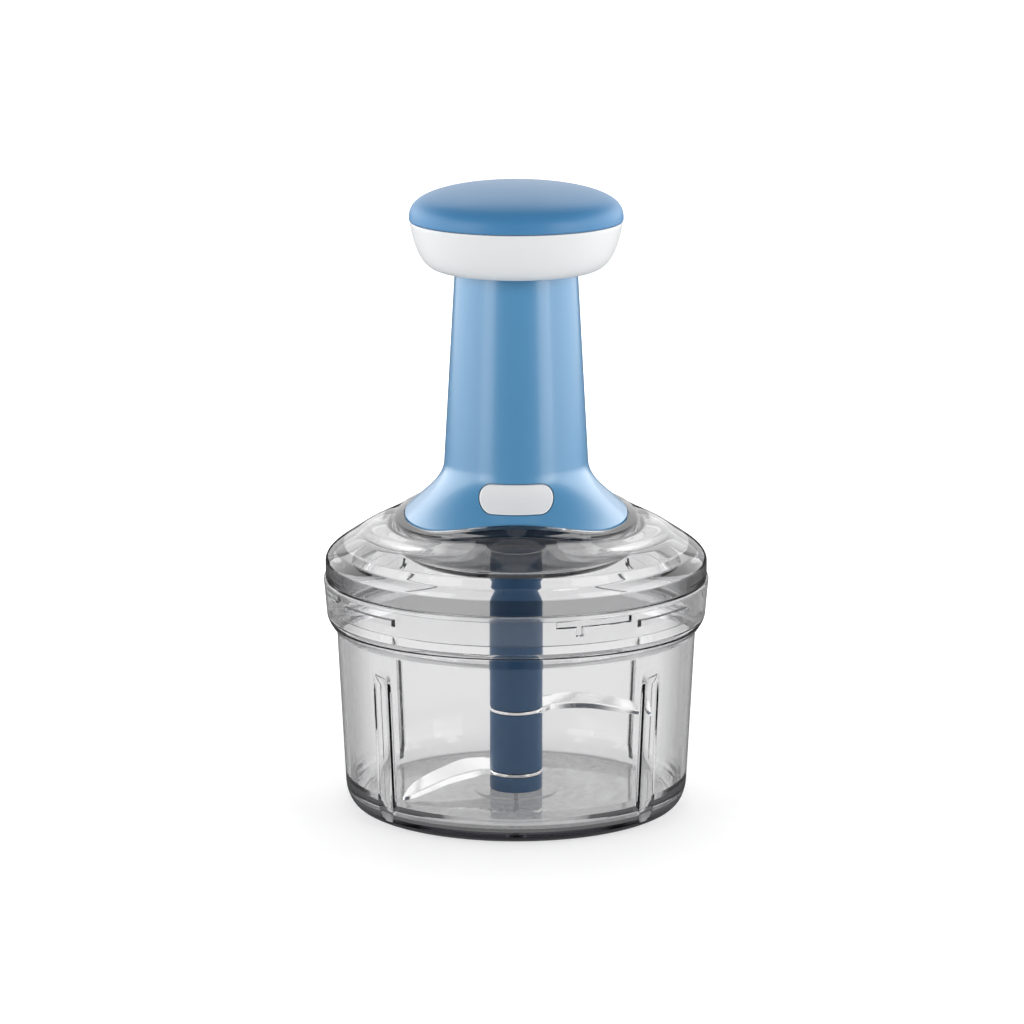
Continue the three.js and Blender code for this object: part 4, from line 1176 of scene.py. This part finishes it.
def grey(value):
    """A colour with the same value in its three channels."""
    node = add(value.id_data, "CombineColor", Red=value, Green=value, Blue=value)
    return node.outputs[0]


def clear(name, tint, density, zones=(), face_on=1.0, painted_edge_shade=0.64, roughness=0.02):
    """Glass optics with absorption inside, and a tinted transparent stand-in for shadow rays.

    The skin's tone is face_on where it faces the eye and painted_edge_shade where it turns away: a
    painted shade along edges seen edge-on. A zone of painted shade (share, bottom, top, inner, outer)
    takes its share off the tone.
    """
    material, tree, shader = surface(name)
    lines = effect(tree, HAIRLINES, Scale=45.0, Amount=0.06, Roughness=roughness)
    # Painted shade: the clear plastic's colour darkens where its skin is seen edge-on.
    facing = add(tree, "LayerWeight").outputs["Facing"]
    tone = ramp(facing, TURN_START, TURN_END, face_on, painted_edge_shade, kind="SMOOTHSTEP")
    # Zones of painted shade take their share off that colour.
    for share, *limits in zones:
        bottom, top, inner, outer = (limit * MM for limit in limits)
        zone = effect(tree, PAINTED_SHADE_ZONE, Bottom=bottom, Top=top, Inner=inner, Outer=outer)
        tone = times(tone, maths("SUBTRACT", 1.0, times(zone["Mask"], share)))
    feed(shader, Base_Color=grey(tone), Roughness=lines["Roughness"])
    feed(shader, Transmission_Weight=1.0, IOR=1.5)
    stand_in = add(tree, "BsdfTransparent", Color=(*[c**SHADOW_SHARE for c in tint], 1))
    mix = add(tree, "MixShader", Fac=add(tree, "LightPath").outputs["Is Shadow Ray"])
    give(mix.inputs[1], shader.outputs[0])
    give(mix.inputs[2], stand_in.outputs[0])
    inside = add(tree, "VolumeAbsorption", Color=(*tint, 1), Density=density)
    feed(tree.nodes["Material Output"], Surface=mix.outputs[0], Volume=inside.outputs[0])
    return material


# Painted shade in the clear plastic: the bowl's floor and shelf, and the lid's rim, collar and well.
BOWL_SHADE_ZONES = [
    (0.5, -1, FLOOR_TOP + 0.6, -1, RIM - 17),
    (0.8, SHELF + 0.2, SHELF + SHELF_CHAMFER - 0.1, RIM - 4.6, RIM - 2),
]
LID_SHADE_ZONES = [
    (0.68, LID_BOTTOM, LID_RIM_TOP, RING_R + 1, RIM + 1),
    (0.6, LEVEL - 9, LEVEL + 9, WELL_R - 1, COLLAR_R + 0.6),
    (0.35, WELL_FLOOR_TOP, LEVEL - 9, WELL_R - 1, WELL_R + 3),
]
finish_of["bowl_clear"] = clear("clear_bowl_plastic", SMOKE, 70.0, BOWL_SHADE_ZONES, face_on=0.94)
finish_of["lid_clear"] = clear("clear_lid_plastic", SMOKE, 80.0, LID_SHADE_ZONES, painted_edge_shade=0.54)
finish_of["silicone"] = clear("clear_seal_silicone", (0.8, 0.8, 0.82), 60.0, roughness=0.12)

# %% Give every piece its finish
slot_of_node = {row["node"]: row["material_slot"] for row in frame["record"]["subparts"]}
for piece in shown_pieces():
    finish = finish_of[piece.get("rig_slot") or slot_of_node[piece.name]]
    if not piece.data.materials:
        piece.data.materials.append(finish)
    for place in piece.material_slots:
        place.material = finish

# %% [markdown]
# ## The studio
#
# The photograph is a packshot: pure white all round and a whisper of shadow under the bowl. Wide soft
# lamps stand at both sides, two narrower ones in front draw pale bands down the column, and one above and
# one behind fill in. The white is in the floor and the world, with its own level for direct view, for
# mirrors and for rays bent by glass.

# %% Floor
FLOOR_REACH = 6.0
FOOT_R = 0.061
FLOOR_TONE = 0.8
MIRROR_LOSS, BENT_LOSS = 0.9, 0.7
# The glow that mirrored rays see under the foot is painted light.
DIRECT_GLOW, BENT_GLOW, PAINTED_UNDER_GLOW = 0.36, 0.8, 0.18
# Glow left nearest the foot, and far in front for rays through glass: a painted shadow.
FOOT_SHADOW_LEVEL, FRONT_SHADE_LEVEL = 0.85, 0.75
GLOW_NEAR, GLOW_FAR = 0.06, 0.5
FRONT_FAR, FRONT_NEAR = -0.3, -0.06


def rays(tree):
    """Light Path's outputs, and whether the ray was bent by glass or only mirrored."""
    path = add(tree, "LightPath").outputs
    bent = path["Is Transmission Ray"]
    return path, bent, maths("SUBTRACT", path["Is Glossy Ray"], bent)


def make_floor():
    """A floor whose tone and glow depend on the kind of ray and the distance from the foot. The glow that
    fades near the foot, and in front for rays through glass, is a painted shadow; the glow under the foot
    for mirrored rays is painted light.
    """
    mesh = bpy.data.meshes.new("studio_floor")
    c = FLOOR_REACH
    mesh.from_pydata([(-c, -c, 0), (c, -c, 0), (c, c, 0), (-c, c, 0)], [], [(0, 1, 2, 3)])
    floor = new_object("studio_floor", mesh)
    material, tree, shader = surface("studio_white")
    mesh.materials.append(material)
    path, bent, mirrored = rays(tree)
    mirrored = most(mirrored, 0.0)
    less = most(times(mirrored, MIRROR_LOSS), times(bent, BENT_LOSS))
    tone = times(maths("SUBTRACT", 1.0, less), FLOOR_TONE)
    place = object_place(tree)
    length = distance(place)
    direct = times(path["Is Camera Ray"], ramp(length, GLOW_NEAR, GLOW_FAR, DIRECT_GLOW))
    # Mirrored rays see a painted glow on the floor under the foot.
    under = times(mirrored, maths("LESS_THAN", length, FOOT_R + 0.0005))
    seen = most(most(direct, times(bent, BENT_GLOW)), times(under, PAINTED_UNDER_GLOW))
    # Painted shadow: the glow fades near the foot, and for rays through glass it fades towards the front.
    away = ramp(length, FOOT_R * 0.9, FOOT_R * 1.25, FOOT_SHADOW_LEVEL, kind="SMOOTHERSTEP")
    front = ramp(axis(place, "Y"), FRONT_FAR, FRONT_NEAR, FRONT_SHADE_LEVEL, kind="SMOOTHERSTEP")
    painted_front_shade = times(bent, maths("SUBTRACT", 1.0, front))
    glow = times(times(seen, away), maths("SUBTRACT", 1.0, painted_front_shade))
    feed(shader, Base_Color=grey(tone), Roughness=0.9, Specular_IOR_Level=0.1)
    feed(shader, Emission_Color=(1, 1, 1, 1), Emission_Strength=glow)


make_floor()

# %% World
AMBIENT = 0.52
DARK_FRONT, BENT_FRONT = 0.06, 0.16
DARK_OVERHEAD = 0.08


def make_world():
    """Level by direction: white for direct view; dark overhead for glass; dark in front for mirrors."""
    world = bpy.data.worlds.new("studio_world")
    bpy.context.scene.world = world
    world.use_nodes = True
    tree = world.node_tree
    path, bent, mirrored = rays(tree)
    place = add(tree, "TexCoord").outputs["Generated"]

    def level(letter, *limits):
        return ramp(axis(place, letter), *limits, kind="SMOOTHERSTEP")

    overhead = level("Z", 0.4, 0.75, 1.0, DARK_OVERHEAD)
    bent = times(times(bent, overhead), level("Y", -0.55, 0.1, BENT_FRONT, 1.0))
    mirrored = times(times(mirrored, level("Y", -0.55, 0.1, DARK_FRONT, 1.0)), overhead)
    seen = most(most(bent, path["Is Camera Ray"]), mirrored)
    lit = times(path["Is Diffuse Ray"], level("Z", 0.1, 0.9, AMBIENT, AMBIENT * 0.4))
    feed(tree.nodes["Background"], Color=(1, 1, 1, 1), Strength=most(seen, lit))


make_world()


# %% Lamps
AIM = Vector((0, 0, 0.12))


def soft_light(name, place, width, height, power):
    """A rectangular lamp at a place in metres, turned to the object's middle."""
    data = bpy.data.lights.new(name, "AREA")
    data.shape = "RECTANGLE"
    data.size, data.size_y = width, height
    data.energy = power
    lamp = new_object(name, data)
    lamp.location = place
    lamp.rotation_euler = (AIM - Vector(place)).to_track_quat("-Z", "Y").to_euler()


soft_light("left_tent", (-0.95, 0.2, 0.34), 2.1, 0.72, 7.6)
soft_light("right_tent", (0.95, 0.2, 0.34), 2.1, 0.72, 7.6)
soft_light("left_band", (-0.9, -0.8, 0.3), 0.45, 1.2, 4.3)
soft_light("right_band", (0.92, -0.76, 0.3), 0.5, 1.2, 5.0)
soft_light("top_soft", (0.0, 0.75, 1.1), 0.9, 0.7, 2.8)
soft_light("back_soft", (0.0, 1.4, 0.87), 1.5, 1.15, 2.8)

# %% Camera
PIXELS = 1024
FOCAL_PIXELS = 4450
SENSOR = 36.0
CAMERA_PLACE = (-0.00163, -1.691, 0.475)
CAMERA_PITCH = math.radians(12.02)


def make_camera():
    """The photograph's view: found from the ellipses of the rims, 1.7 m away and 12 degrees down."""
    data = bpy.data.cameras.new("packshot")
    data.sensor_width = SENSOR
    data.lens = FOCAL_PIXELS / PIXELS * SENSOR
    camera = new_object("packshot", data)
    camera.location = CAMERA_PLACE
    camera.rotation_euler = (math.pi / 2 - CAMERA_PITCH, 0, 0)
    bpy.context.scene.camera = camera
    bpy.context.scene.view_settings.view_transform = "Standard"


make_camera()
